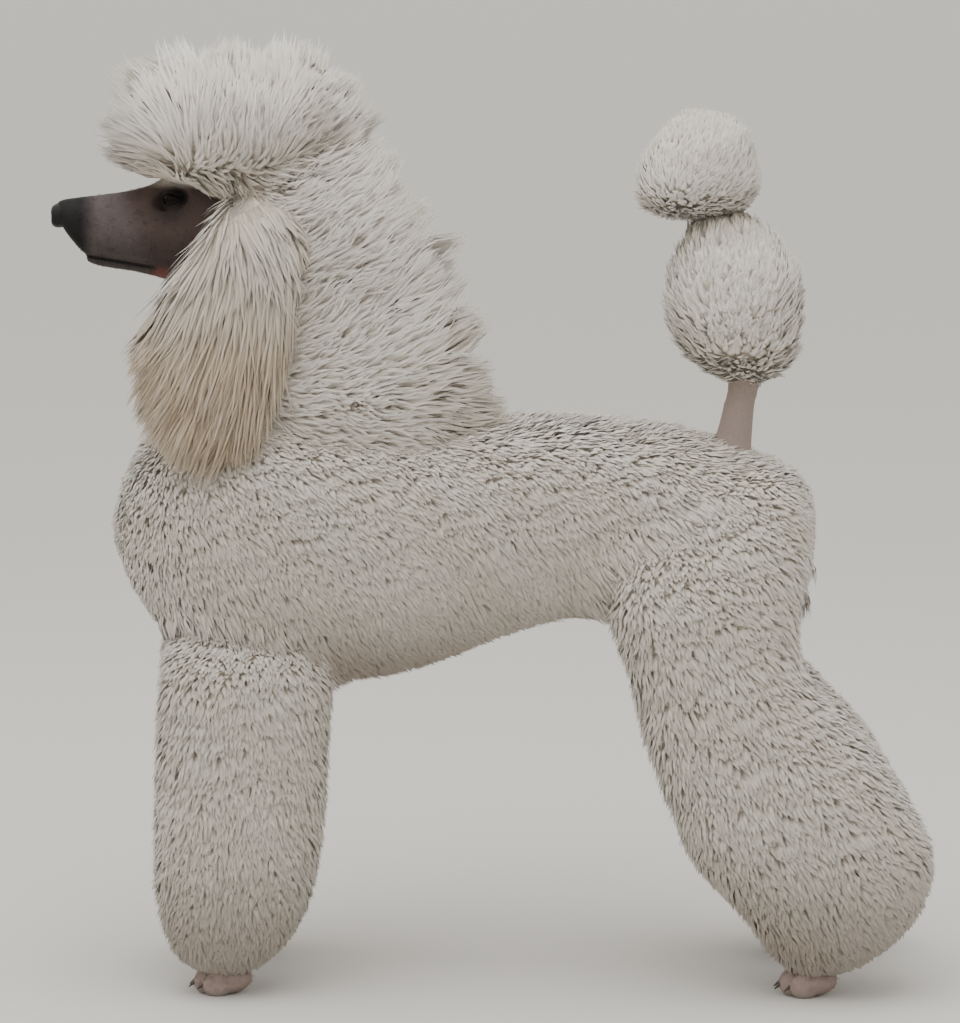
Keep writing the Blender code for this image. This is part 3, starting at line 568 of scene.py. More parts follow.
def shapeHead():
    bm = fused([loft(head, 60, 48), loft(jaw, 24, 24)], 0.0017, 3)
    points = np.array([v.co for v in bm.verts])
    height, ahead = besideMouth(points, 0.002, -0.010)
    press = np.clip(1 - np.abs(height) / mouth["groove"], 0, 1) ** mouth["sharpness"] * ahead * mouth["depth"]
    lip = sum(np.exp(-((height - level) / spread) ** 2) * ahead * rise
              for level, spread, rise in mouth["lips"])
    # out to the sides, and round the front of the muzzle
    out = points.copy()
    out[:, 0] = np.minimum(points[:, 0] - mouth["front"], 0)
    out[:, 2] = 0
    out /= np.maximum(np.linalg.norm(out, axis=1), 1e-6)[:, None]
    points += out * (lip - press)[:, None]
    for side in sides.values():
        for (x, y, z), size, rise in headForms:
            near = np.linalg.norm((points - np.array((x, side * y, z))) / size, axis=1)
            points[:, 1] += side * np.exp(-near ** 2) * rise
        # lids wrap the eyeball, and inside their rim the skin turns in behind it
        a, b, c, near = besideEye(points, side)
        look = np.array(eyeFrame(side)[3])
        facing = c > eye["behind"]
        wrap = np.sqrt(np.maximum((eye["radius"] + eye["lid"]) ** 2 - a ** 2 - b ** 2, 0))
        share = (1 - smoothstep(*eye["lidFade"], near)) * facing
        points += look * ((wrap - c) * share)[:, None]
        inside = (1 - smoothstep(*eye["opening"], near)) * facing
        points -= look * (inside * eye["turnIn"])[:, None]
    for vert, point in zip(bm.verts, points):
        vert.co = point
    relax(bm, 0.3)
    return bm


# width and height are to the eye's own, drawnOut narrows the corners, over is its height on the eyeball
lidEdge = {"around": 40, "through": 8, "width": 0.97, "height": 0.92, "drawnOut": 0.22, "over": 0.0004,
           "thick": 0.0013, "upperThicker": 0.0004, "depth": 1.2}


def lidRim(side):
    # both lids' wet rim: a rounded cord round the opening
    place, along, up, look = eyeFrame(side)
    bm = bmesh.new()
    loops = []
    for i in range(lidEdge["around"]):
        angle = 2 * math.pi * i / lidEdge["around"]
        a = math.cos(angle) * eye["width"] * lidEdge["width"]
        b = math.sin(angle) * eye["height"] * (lidEdge["height"] - lidEdge["drawnOut"] * math.cos(angle) ** 4)
        rise = math.sqrt(max((eye["radius"] + lidEdge["over"]) ** 2 - a * a - b * b, 0))
        middle = place + along * a + up * b + look * rise
        out = (along * math.cos(angle) + up * math.sin(angle)).normalized()
        thick = lidEdge["thick"] + lidEdge["upperThicker"] * math.sin(angle)
        ring = bmesh.ops.create_circle(bm, cap_ends=False, segments=lidEdge["through"], radius=1)["verts"]
        for vert in ring:
            vert.co = middle + out * (vert.co.x * thick) + look * (vert.co.y * thick * lidEdge["depth"])
        loops.append(ringEdges(ring))
    for low, high in zip(loops, loops[1:] + loops[:1]):
        bmesh.ops.bridge_loops(bm, edges=low + high)
    bmesh.ops.recalc_face_normals(bm, faces=bm.faces)
    return bm


# Feet: four arched toes, their pads and claws. A block is how far back and how high its middle is, and its
# half length, width and height.

foot = {"front": -0.296, "hind": 0.344, "length": 0.066, "width": 0.050, "toeIn": 0.017, "toeHigh": 0.01292,
        # each toe's place across, to the width, and how far it is set back
        "toes": ((-0.33, 0.010), (-0.12, 0.0), (0.12, 0.0), (0.33, 0.010)),
        # instep, pastern and the pad of the sole
        "blocks": ((0.004, 0.01768, 0.02772, 0.0220, 0.01904), (0.012, 0.045, 0.020, 0.019, 0.030),
                   (0.004, 0.006, 0.018, 0.016, 0.0075)),
        # toe, its knuckle and its pad
        "toeBlocks": ((0, 0, 0.0165, 0.0068, 0.01496), (0.003, 0.009, 0.0125, 0.0062, 0.0105),
                      (0, -0.0075, 0.011, 0.0060, 0.0060))}
claw = {"root": 0.0030, "tip": 0.0007, "length": 0.013, "curl": 0.0022, "clear": 0.0002,
        "way": Vector((-0.88, 0, -0.42)), "start": Vector((-0.0165, 0, -0.0005))}


def footPlaces():
    for side in sides.values():
        step = stance["farStep"] if side > 0 else 0
        yield foot["front"] + step, side * stance["front"]
        yield foot["hind"], side * stance["rear"]


def toePlaces(x, y):
    for across, back in foot["toes"]:
        front = x - foot["length"] / 2 + back + foot["toeIn"]
        yield Vector((front, y + across * foot["width"], foot["toeHigh"]))


def shapeFoot(x, y):
    blocks = [((x + back, y, high), size) for back, high, *size in foot["blocks"]]
    for toe in toePlaces(x, y):
        blocks += [(toe + Vector((back, 0, high)), size) for back, high, *size in foot["toeBlocks"]]
    bm = fused([ball(place, size) for place, size in blocks], 0.0021, 2)
    for vert in bm.verts:
        vert.co.z = max(vert.co.z, 0.0)
    return bm


def shapeClaws():
    parts = []
    turn = claw["way"].to_track_quat("Z", "X").to_matrix().to_4x4()
    for x, y in footPlaces():
        for toe in toePlaces(x, y):
            bm = bmesh.new()
            bmesh.ops.create_cone(bm, cap_ends=True, segments=10, radius1=claw["root"], radius2=claw["tip"],
                                  depth=claw["length"])
            edges = [e for e in bm.edges if abs(e.verts[0].co.z - e.verts[1].co.z) > claw["length"] / 2]
            bmesh.ops.subdivide_edges(bm, edges=edges, cuts=4)
            for vert in bm.verts:
                t = vert.co.z / claw["length"] + 0.5
                vert.co.x -= claw["curl"] * t * t
            bmesh.ops.transform(bm, matrix=Matrix.Translation(toe + claw["start"]) @ turn, verts=bm.verts)
            for vert in bm.verts:
                vert.co.z = max(vert.co.z, claw["clear"])
            parts.append(bm)
    return joined(parts)


# The skin: one surface for all the flesh, inside the coat by its depth, bare on the face, tail root and feet

# what is shaved or thinly coated, from and to in x, in z and away from the middle plane
faceBox = ((-1, -0.262), (0.765, 0.905), (-1, 0.062))
templeBox = ((-0.310, -0.235), (0.825, 0.890), (0.030, 0.140))
stubBox = ((0.235, 0.300), (0.585, 0.690), (-1, 0.030))
# the line that the shaved wedge ends on, from a point and across its slope, and the temple's shorter hair and
# painted shade
shave = {"line": (-0.301, 0.847), "across": (0.833, -0.553), "edge": (-0.006, 0.012),
         "brow": (0.874, 0.892), "browBack": (-0.425, -0.385),
         "thinAndShade": 0.75, "temple": (-0.277, 0.855), "templeSize": (0.026, 0.024)}
pigment = {"tip": (-0.424, -0.450), "lipLine": 0.0034, "lowerJaw": 0.55, "upperLip": 0.40,
           "lipTop": (0.838, 0.806), "cheeks": (-0.400, -0.372), "cheekSlope": 0.30, "cheekLevel": 0.83,
           "rosy": (-0.362, 0.779), "rosySize": (0.013, 0.011), "lids": (1.15, 1.9),
           "pouch": (-0.350, 0.859), "pouchSize": (0.021, 0.021), "pouchDark": 0.78,
           "feetTop": 0.060, "soles": 0.6, "soleTop": (0.010, 0.003), "feetWarm": 0.35, "feetRosy": 0.40,
           "stubRosy": 0.22}


def fleshLofts():
    shapes = [neck, topknot]
    for side in sides.values():
        shapes += [placed(ear, side=side), *legsOf(side, coatDepth)]
    shapes += [placed(tailPom, inset=pomDepth), placed(tailTuft, inset=tuftDepth), tailBase]
    lofts = [loft(placed(trunk, inset=coatDepth), 40, 32, trunkSquare)]
    return lofts + [loft(rows, 40, 32) for rows in shapes]


def within(box, x, y, z):
    tests = [(value > low) & (value < high) for value, (low, high) in zip((x, z, np.abs(y)), box)]
    return tests[0] & tests[1] & tests[2]


def hairiness(x, z):
    # the shaved wedge ends at the brow and along a line from behind the eye to the throat
    behind = (x - shave["line"][0]) * shave["across"][0] + (z - shave["line"][1]) * shave["across"][1]
    brow = smoothstep(*shave["brow"], z) * smoothstep(*shave["browBack"], x)
    # the hair is shorter at the temple, between the topknot and the ear, and the skin is painted grey there
    # as shade
    thinAndShade = shave["thinAndShade"] * np.exp(-spot(x, z, shave["temple"], shave["templeSize"]))
    return np.maximum(smoothstep(*shave["edge"], behind), brow) * (1 - thinAndShade)


def paintSkin(piece):
    points = numbersOf(piece.data.vertices, "co", 3)
    x, y, z = points.T
    face, temple, stub = (within(box, x, y, z) for box in (faceBox, templeBox, stubBox))
    feet = z < pigment["feetTop"]
    coated = np.where(stub, skin["stubCoat"], np.where(feet, skin["footCoat"], 1.0))
    coated = np.where(face | temple, hairiness(x, z), coated)
    height, ahead = besideMouth(points, 0.010, -0.004)
    # dark at the muzzle's tip, along the mouth, on the lower jaw and on the upper lip
    dark = np.maximum.reduce([smoothstep(*pigment["tip"], x),
                              np.exp(-((height + 0.001) / pigment["lipLine"]) ** 2) * ahead,
                              pigment["lowerJaw"] * smoothstep(0.004, -0.004, height) * ahead,
                              pigment["upperLip"] * smoothstep(*pigment["lipTop"], z)])
    warm = smoothstep(*pigment["cheeks"], x + pigment["cheekSlope"] * (z - pigment["cheekLevel"]))
    rosy = np.exp(-spot(x, z, pigment["rosy"], pigment["rosySize"]) ** 2)
    pouch = pigment["pouchDark"] * np.exp(-spot(x, z, pigment["pouch"], pigment["pouchSize"]) ** 1.5)
    for side in sides.values():
        _, _, out, near = besideEye(points, side)
        here = np.abs(out) < eye["deep"]
        lids = 1 - smoothstep(*pigment["lids"], near)
        dark = np.maximum(dark, np.maximum(lids, pouch) * here)
    dark = np.where(feet, pigment["soles"] * smoothstep(*pigment["soleTop"], z), dark * face)
    warm = np.where(feet, pigment["feetWarm"], warm * face)
    rosy = np.where(stub, pigment["stubRosy"], np.where(feet, pigment["feetRosy"], rosy * face))
    marks = np.stack([dark, warm, rosy, coated], axis=1)
    layer = piece.data.attributes.new("skinMark", "FLOAT_COLOR", "POINT")
    layer.data.foreach_set("color", marks.astype(np.float32).ravel())


def unwrap(piece):
    # an even unwrap of the skin's own shape, which the coat's map also uses
    piece.data.uv_layers.new(name="OFBake")
    bpy.context.view_layer.objects.active = piece
    piece.select_set(True)
    bpy.ops.object.mode_set(mode="EDIT")
    bpy.ops.mesh.select_all(action="SELECT")
    bpy.ops.uv.smart_project(angle_limit=math.radians(66), island_margin=0.001)
    bpy.ops.object.mode_set(mode="OBJECT")
    piece.select_set(False)


flesh = ["chest", "loin", "neck", "topknot", "head", "lower_jaw", "ear_left", "ear_right", "tail_base",
         "tail_pom", "tail_tuft"]
flesh += [part + "_" + word for part in ("front_leg", "front_foot", "hind_leg", "hind_foot", "thigh")
          for word in sides]


def buildSkin():
    parts = [fused(fleshLofts(), 0.009, 2), shapeHead(), lidRim(-1), lidRim(1)]
    parts += [shapeFoot(x, y) for x, y in footPlaces()]
    piece = newPiece("skin", joined(parts), skinFinish)
    paintSkin(piece)
    unwrap(piece)
    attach(piece, "root")
    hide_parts(*flesh)
    return piece


skinPiece = buildSkin()
print("skin ready", len(skinPiece.data.polygons), "faces")


# Nose, eyes and claws

# a round nostril that runs out into a slit at the side: place, stretch, size, depth and steepness of each
nostril = (((-0.4805, 0.0070, 0.8440), (0.6, 1, 1), 0.0036, 0.0050, 4),
           ((-0.4745, 0.0140, 0.8400), (1, 1.2, 1), 0.0034, 0.0028, 2))
noseForm = {"pushBack": 0.9, "pushIn": 0.35, "cleftTop": 0.846, "cleft": 0.0012, "cleftWidth": 0.0010}


def buildNose():
    bm = fused([loft(nose, 30, 32)], 0.0008, 2)
    for vert in bm.verts:
        p = vert.co
        for side in sides.values():
            push = 0
            for (x, y, z), stretch, size, depth, power in nostril:
                here = [value * share for value, share in zip(p, stretch)]
                there = [value * share for value, share in zip((x, side * y, z), stretch)]
                push += depth * math.exp(-(math.dist(here, there) / size) ** power)
            p.x += push * noseForm["pushBack"]
            p.y -= side * push * noseForm["pushIn"]
        if p.z < noseForm["cleftTop"]:
            p.x += noseForm["cleft"] * math.exp(-(p.y / noseForm["cleftWidth"]) ** 2)
    piece = newPiece("nose_leather", bm, noseFinish)
    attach(piece, "root")
    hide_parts("nose")


def eyeMaterial(word, side):
    # Eye: dark brown iris under a wet clear cornea.
    made, tree, shader = newMaterial("wet_brown_eye_" + word,
                                     {"Roughness": 0.18, "IOR": 1.38, "Specular IOR Level": 0.12})
    place, _, _, look = eyeFrame(side)
    front = place + look * eye["radius"]
    coords = addNode(tree, "ShaderNodeTexCoord").outputs["Object"]
    away = addNode(tree, "ShaderNodeVectorMath", {0: coords, 1: front}, operation="DISTANCE")
    # pupil about 5.5 mm and iris about 15 mm across
    pupil = addNode(tree, "ShaderNodeMapRange", {0: away.outputs["Value"], 1: 0.0024, 2: 0.0032})
    rim = addNode(tree, "ShaderNodeMapRange", {0: away.outputs["Value"], 1: 0.0066, 2: 0.0082})
    # fibres of the iris about 1 mm apart
    fibres = addNode(tree, "ShaderNodeTexNoise", {"Vector": coords, "Scale": 900.0, "Detail": 3.0})
    brown = mixColour(tree, fibres.outputs["Fac"], linear("#0a0503"), linear("#180d07"))
    iris = mixColour(tree, pupil.outputs[0], linear("#050404"), brown)
    whole = mixColour(tree, rim.outputs[0], iris, linear("#0e0a08"))
    tree.links.new(whole, shader.inputs["Base Color"])
    return made


def buildEyes():
    for word, side in sides.items():
        place, _, _, look = eyeFrame(side)
        bm = ball((0, 0, 0), [eye["radius"]] * 3, 40, 28)
        for vert in bm.verts:
            # the cornea stands out a little
            vert.co *= 1 + 0.07 * smoothstep(0.80, 0.97, max(vert.co.normalized().z, 0))
        turn = look.to_track_quat("Z", "Y").to_matrix().to_4x4()
        bmesh.ops.transform(bm, matrix=Matrix.Translation(place) @ turn, verts=bm.verts)
        piece = newPiece("eyeball_" + word, bm, eyeMaterial(word, side))
        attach(piece, "root")
        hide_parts("eye_" + word)


def buildClaws():
    piece = newPiece("claws", shapeClaws(), clawFinish)
    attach(piece, "root")


buildNose()
buildEyes()
buildClaws()
print("nose, eyes and claws ready")


# Coat. Roots are spread over a loft, and every tuft is a thin three-sided taper that bends from its
# root's way out to the lie of the coat there, and ends near the outline of the tips.

def triangleArrays(bm):
    mesh = bpy.data.meshes.new("rooting")
    bmesh.ops.triangulate(bm, faces=bm.faces)
    bm.to_mesh(mesh)
    bm.free()
    arrays = (numbersOf(mesh.vertices, "co", 3), numbersOf(mesh.vertices, "normal", 3),
              numbersOf(mesh.polygons, "vertices", 3, int))
    bpy.data.meshes.remove(mesh)
    return arrays


def unit(vectors):
    return vectors / np.maximum(np.linalg.norm(vectors, axis=-1, keepdims=True), 1e-9)


def spreadRoots(bm, count):
    # evenly over the area, stepping through each triangle so that neighbours keep apart
    places, normals, corners = triangleArrays(bm)
    a, b, c = (places[corners[:, k]] for k in range(3))
    area = np.linalg.norm(np.cross(b - a, c - a), axis=1)
    share = np.cumsum(area) / area.sum()
    pick = np.searchsorted(share, (np.arange(count) + random.random(count)) / count)
    pick = np.minimum(pick, len(corners) - 1)
    u = (0.7549 * np.arange(count) + 0.15 * random.random(count)) % 1
    v = (0.5698 * np.arange(count) + 0.15 * random.random(count)) % 1
    flip = u + v > 1
    u[flip], v[flip] = 1 - u[flip], 1 - v[flip]
    weights = np.stack([1 - u - v, u, v], axis=1)
    roots = (places[corners[pick]] * weights[:, :, None]).sum(axis=1)
    ways = unit((normals[corners[pick]] * weights[:, :, None]).sum(axis=1))
    return roots, ways


def outsideOf(roots, shapes):
    # true where a root lies outside all the shapes: from inside, a ray crosses a closed shape's surface
    # an odd number of times
    free = np.ones(len(roots), bool)
    probe = Vector((0.31, 0.87, 0.38)).normalized()
    for bm in shapes:
        corners = np.array([v.co for v in bm.verts])
        boxed = ((roots > corners.min(axis=0)) & (roots < corners.max(axis=0))).all(axis=1)
        tree = BVHTree.FromBMesh(bm)
        bm.free()
        for i in np.nonzero(free & boxed)[0]:
            point = Vector(roots[i])
            crossings = 0
            hit = tree.ray_cast(point, probe)[0]
            while hit is not None:
                crossings += 1
                hit = tree.ray_cast(hit + probe * 1e-5, probe)[0]
            free[i] = crossings % 2 == 0
    return free


def waves(points, size, seed):
    # smooth random vectors, from about -1 to 1, whose pattern is about size across
    draw = np.random.default_rng(seed)
    total = np.zeros((len(points), 3))
    for _ in range(7):
        way = unit(draw.normal(size=3)) * 2 * math.pi / size * draw.uniform(0.6, 1.5)
        total += draw.normal(size=3) * np.sin(points @ way + draw.uniform(0, 2 * math.pi))[:, None]
    return total / 2.6


skinTree = BVHTree.FromObject(skinPiece, bpy.context.evaluated_depsgraph_get())
skinMap = numbersOf(skinPiece.data.uv_layers["OFBake"].uv, "vector", 2)
skinStarts = numbersOf(skinPiece.data.polygons, "loop_start", kind=int)


def rootMap(roots):
    # the place of each root on the skin's own unwrap
    faces = np.array([skinTree.find_nearest(Vector(root))[2] for root in roots])
    starts = skinStarts[faces]
    return (skinMap[starts] + skinMap[starts + 1] + skinMap[starts + 2]) / 3


def reachOf(roots, ways, outline, limit):
    # how far each root is from the outline of the tips, along its way
    found = np.zeros(len(roots))
    for i, (root, way) in enumerate(zip(roots, ways)):
        hit = outline.ray_cast(Vector(root), Vector(way))
        found[i] = hit[3] if hit[0] is not None else 0
    return np.minimum(found, limit)


def outlineWays(places, outline):
    # the outline's own way out beside each place, which the coat takes its soft shading from
    return np.array([outline.find_nearest(Vector(place))[1] for place in places])


def lockOf(roots, share):
    # the lock that each tuft belongs to; share is the number of locks to tufts
    count = max(2, int(len(roots) * share))
    middles = random.choice(len(roots), count, replace=False)
    tree = KDTree(count)
    for k, i in enumerate(middles):
        tree.insert(Vector(roots[i]), k)
    tree.balance()
    return middles, np.array([tree.find(Vector(root))[1] for root in roots])


def tuftFaces(segments):
    faces = [(0, 1, 2)]
    for k in range(segments - 1):
        low, high = 3 * k, 3 * k + 3
        for m in range(3):
            n = (m + 1) % 3
            faces += [(low + m, high + n, low + n), (low + m, high + m, high + n)]
    low, top = 3 * (segments - 1), 3 * segments
    faces += [(low + m, top, low + (m + 1) % 3) for m in range(3)]
    return np.array(faces)


def growCoat(name, strands, style, skinMarks=None):
    # tufts from arrays. strands holds roots, ways out, starts and lies of the tufts, their lengths,
    # smooth ways for the shading, wildness, cream tint and the darkening below, which is painted shade under
    # the belly
    roots, ways, starts, lies = (strands[key] for key in ("roots", "ways", "starts", "lies"))
    count, segments = len(roots), style["segments"]
    wild = strands["wild"]
    middles, mine = lockOf(roots, style["lockShare"])
    lockDraw = random.random(len(middles))
    lengths = strands["lengths"] * (1 + style["ragged"] * wild * (2 * lockDraw[mine] - 1.6))
    reach = 2 * lengths / np.maximum(np.linalg.norm(starts + lies, axis=1), 0.5)
    ends = roots + (starts + lies) / 2 * reach[:, None]
    pull = (ends[middles[mine]] - ends) * (style["pull"] * wild)[:, None]
    phase = lockDraw[mine] * 2 * math.pi + random.normal(0, style["unruly"], count)
    stray = random.normal(size=(count, 3)) * (lengths * style["stray"])[:, None]
    acrossFirst = unit(np.cross(lies, ways) + 1e-6)
    upFirst = unit(np.cross(acrossFirst, lies))
    swing = (style["curl"] * np.minimum(1, lengths / 0.05))[:, None]
    rings = []
    for k in range(segments + 1):
        t = k / segments
        middle = roots + (starts * (t - t * t / 2) + lies * (t * t / 2)) * reach[:, None]
        angle = (phase + 2 * math.pi * style["turns"] * t)[:, None]
        middle += pull * t * t + stray * t * t
        middle += (acrossFirst * np.sin(angle) + upFirst * np.cos(angle)) * swing * t ** 0.8
        rings.append(middle)
    widths = style["width"] / density ** 0.5 * random.uniform(0.75, 1.2, count)
    roll = random.uniform(-style["roll"], style["roll"], count)[:, None]
    perTuft = 3 * segments + 1
    places = np.empty((count, perTuft, 3))
    shading = np.empty((count, perTuft, 3))
    for k in range(segments):
        tangent = unit(rings[k + 1] - rings[max(k - 1, 0)])
        across = unit(np.cross(tangent, ways) + 1e-6)
        up = np.cross(across, tangent)
        turned = across * np.cos(roll) + up * np.sin(roll)
        lifted = up * np.cos(roll) - across * np.sin(roll)
        half = (widths * (1 - (k / segments) ** style["fullness"]) * 0.5)[:, None]
        places[:, 3 * k] = rings[k] - turned * half
        places[:, 3 * k + 1] = rings[k] + turned * half
        places[:, 3 * k + 2] = rings[k] + lifted * half * style["ridge"]
        shading[:, 3 * k], shading[:, 3 * k + 1], shading[:, 3 * k + 2] = -turned, turned, lifted
    places[:, -1] = rings[-1]
    shading[:, -1] = tangent
    places[:, :3] -= (ways * style["rooted"])[:, None, :]
    shading = unit(shading * (1 - style["soft"]) + strands["smooth"][:, None, :] * style["soft"])

    faces = tuftFaces(segments)
    allFaces = (faces[None] + (np.arange(count) * perTuft)[:, None, None]).reshape(-1, 3)
    mesh = bpy.data.meshes.new(name)
    mesh.vertices.add(count * perTuft)
    mesh.vertices.foreach_set("co", places.astype(np.float32).ravel())
    mesh.loops.add(allFaces.size)
    mesh.loops.foreach_set("vertex_index", allFaces.ravel().astype(np.int32))
    mesh.polygons.add(len(allFaces))
    mesh.polygons.foreach_set("loop_start", np.arange(0, allFaces.size, 3, dtype=np.int32))
    mesh.update()
    share = np.append(np.repeat(np.arange(segments) / segments, 3), 1.0)
    marks = np.empty((count, perTuft, 4), np.float32)
    if skinMarks is None:
        flat = places.reshape(-1, 3)
        marks[:, :, 0] = share[None]
        marks[:, :, 1] = (lockDraw[mine] * 0.5 + random.random(count) * 0.5)[:, None]
        tint = strands["tint"](flat).reshape(count, perTuft) + strands["tone"][:, None]
        marks[:, :, 2] = np.clip(tint, 0, 1)
        marks[:, :, 3] = strands["lowDark"](flat).reshape(count, perTuft)
    else:
        marks[:] = skinMarks[:, None]
    layerName = "coatMark" if skinMarks is None else "skinMark"
    mesh.attributes.new(layerName, "FLOAT_COLOR", "POINT").data.foreach_set("color", marks.ravel())
    patch = np.empty((perTuft, 2))
    patch[:, 0] = np.append(np.tile([-0.5, 0.5, 0.0], segments), 0.0)
    patch[:, 1] = share - 0.5
    corners = (rootMap(roots)[:, None] + patch[None] * style["mapPatch"]).reshape(-1, 2)[allFaces.ravel()]
    mesh.uv_layers.new(name="OFBake").uv.foreach_set("vector", corners.astype(np.float32).ravel())
    mesh.materials.append(coatFinish if skinMarks is None else skinFinish)
    mesh.shade_smooth()
    mesh.normals_split_custom_set_from_vertices(shading.reshape(-1, 3))
    piece = bpy.data.objects.new(name, mesh)
    bpy.context.scene.collection.objects.link(piece)
    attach(piece, "root")
    print(name, count, "tufts", len(allFaces), "triangles")


density = 1.0
# width is a tuft's at its root, fullness keeps it wide towards the tip, ridge is its height to its width and
# roll its turn about its length. lockShare is the number of locks to tufts, pull draws a lock's tufts
# together, curl and turns wind them, unruly lets each wind its own way, stray lets its tip wander and ragged
# makes locks unequal. soft is how far a tuft shades as the coat's outline, rooted how deep it starts and
# mapPatch its size on the map.
plush = {"segments": 2, "width": 0.0074, "fullness": 2.6, "ridge": 0.22, "roll": 0.25, "pull": 0.22,
         "lockShare": 0.10, "curl": 0.0022, "turns": 0.7, "unruly": 1.4, "stray": 0.06, "ragged": 0.06,
         "soft": 0.92, "rooted": 0.002, "mapPatch": 0.003}
flowing = dict(plush, segments=3, width=0.0064, fullness=1.8, pull=0.72, lockShare=0.020, curl=0.0026,
               turns=0.9, unruly=0.8, stray=0.05, ragged=0.28)


def dress(name, rows, tips, count, lie, style, square=2.2, blocked=(), keep=None, lift=0.48,
          sway=(0.05, 0.12), limit=0.040, least=0.012, tint=None, lowDark=None, wild=None,
          blend=None):
    # one region of the coat: lie(roots, ways) is its way at the tips, lift how steeply it leaves the skin
    roots, ways = spreadRoots(loft(rows, 60, 48, square), int(count * density))
    free = outsideOf(roots, [loft(*shape) for shape in blocked])
    if keep:
        free &= keep(roots, ways)
    roots, ways = roots[free], ways[free]
    size, strength = sway
    drift = waves(roots, size, 5) * strength + waves(roots, size / 3, 6) * strength
    lies = unit(unit(lie(roots, ways)) + drift)
    rise = (lift(roots, ways) if callable(lift) else np.full(len(roots), lift))[:, None]
    starts = unit(ways * rise + lies * (1 - rise) + drift * 0.4)
    outline = BVHTree.FromBMesh(loft(tips, 60, 48, square))
    lengths = np.maximum(reachOf(roots, unit(starts + lies), outline, limit), least)
    if blend:
        # longer in the folds, where the whole form lies outside the region's own outline
        lengths = np.maximum(lengths, reachOf(roots, unit(starts + lies), blend, limit))
    lengths *= random.uniform(0.88, 1.03, len(roots))
    ends = roots + (starts + lies) / 2 * lengths[:, None]
    strands = {"roots": roots, "ways": ways, "starts": starts, "lies": lies, "lengths": lengths,
               "smooth": outlineWays(ends, blend or outline),
               "wild": wild(roots, ways) if wild else np.ones(len(roots)),
               "tone": 0.05 * waves(roots, 0.09, 8)[:, 0],
               "tint": tint or (lambda places: np.full(len(places), 0.06)),
               "lowDark": lowDark or (lambda places: np.zeros(len(places)))}
    growCoat(name, strands, style)


def combed(x, y, z, steep=0.30):
    # along the skin, the way it is combed, and standing off it by steep
    way = np.array((x, y, z), float)

    def lie(roots, ways):
        flat = way - ways * (ways @ way)[:, None]
        size = np.linalg.norm(flat, axis=1, keepdims=True)
        return flat / (size + 0.15 * np.linalg.norm(way)) + ways * steep

    return lie


# Trunk, legs and tail: scissored plush
body = {"trunk": 48000, "trunkWay": (0.40, 0, -0.55),
        "trunkPieces": (("coat_chest", -1.0, -0.165), ("coat_ribs", -0.165, 0.06), ("coat_loin", 0.06, 1.0)),
        "front_leg": (14000, (0.05, 0, -0.70)), "hind_leg": (16200, (0.35, 0, -0.60)), "legInset": 0.020,
        "tailPom": (6300, (0, 0, 0.25)), "tailTuft": (4000, (0.1, 0, 0.35)),
        "blendVoxel": 0.012, "blendSmoothing": 30,
        # how strong the darkening below is, and from where to where it grows: painted shade under the belly,
        # and the legs darker towards the bottom
        "bellyShade": (0.80, 0.45, 0.33), "legsDarkBelow": (0.65, 0.20, 0.03)}


# darker towards the bottom, which under the belly is painted shade
def darkerBelow(strength, top, bottom):
    return lambda places: strength * smoothstep(top, bottom, places[:, 2])


def growBody():
    # the trunk, neck and legs shade as one soft form
    whole = [loft(trunk, 40, 40, trunkSquare), loft(neck, 30, 32)]
    inOthers = []
    for side in sides.values():
        whole += [loft(rows, 30, 32) for rows in legsOf(side)]
        inOthers += [(rows, 30, 20) for rows in legsOf(side, body["legInset"])]
    inOthers.append((neck, 30, 24))
    blend = BVHTree.FromBMesh(fused(whole, body["blendVoxel"], body["blendSmoothing"]))
    skinRows = placed(trunk, inset=coatDepth)
    for name, low, high in body["trunkPieces"]:
        keep = lambda roots, ways, low=low, high=high: (roots[:, 0] >= low) & (roots[:, 0] < high)
        # the belly's darkening is painted shade under the ribs
        dress(name, skinRows, trunk, body["trunk"], combed(*body["trunkWay"]), plush, trunkSquare, inOthers,
              keep, lowDark=darkerBelow(*body["bellyShade"]), blend=blend)
    inTrunk = [(skinRows, 50, 40, trunkSquare)]
    for word, side in sides.items():
        for leg, tips, rows in zip(("front_leg", "hind_leg"), legsOf(side), legsOf(side, coatDepth)):
            count, way = body[leg]
            # the legs get darker towards the bottom
            dress("coat_" + leg + "_" + word, rows, tips, count, combed(*way), plush, blocked=inTrunk,
                  lowDark=darkerBelow(*body["legsDarkBelow"]), blend=blend)
    count, way = body["tailPom"]
    dress("coat_tail_pom", placed(tailPom, inset=pomDepth), tailPom, count, combed(*way),
          dict(plush, ragged=0.2, pull=0.5))
    count, way = body["tailTuft"]
    dress("coat_tail_tuft", placed(tailTuft, inset=tuftDepth), tailTuft, count, combed(*way), plush)


growBody()
print("body coat ready")


# Mane and topknot: long hair, brushed up and back. A way of the hair is x, a share of the skin's own y
# and z.
mane = {"low": 14500, "high": 17000, "split": 0.745, "throat": (-0.55, 0.35, -0.80),
        "temple": (0.60, 0.45, -0.50)}
top = {"count": 7000, "middle": (0.15, 0.6, 0.95), "brow": (-0.85, 0.4, 0.25), "nape": (0.72, 0.5, 0.72),
       "temple": (0.60, 0.50, -0.60), "faceFrom": -0.30, "faceTop": 0.884,
       "cream": 0.5, "creamAt": (-0.37, 0.90), "creamSize": (0.04, 0.03)}


def towards(ways, x, share, z):
    return np.stack([np.full(len(ways), x), ways[:, 1] * share, np.full(len(ways), z)], axis=1)


def crest(roots, ways):
    # wisps part along the middle line and the top, and the sides stay smooth
    return 0.12 + 0.88 * smoothstep(0.65, 0.20, np.abs(ways[:, 1]))


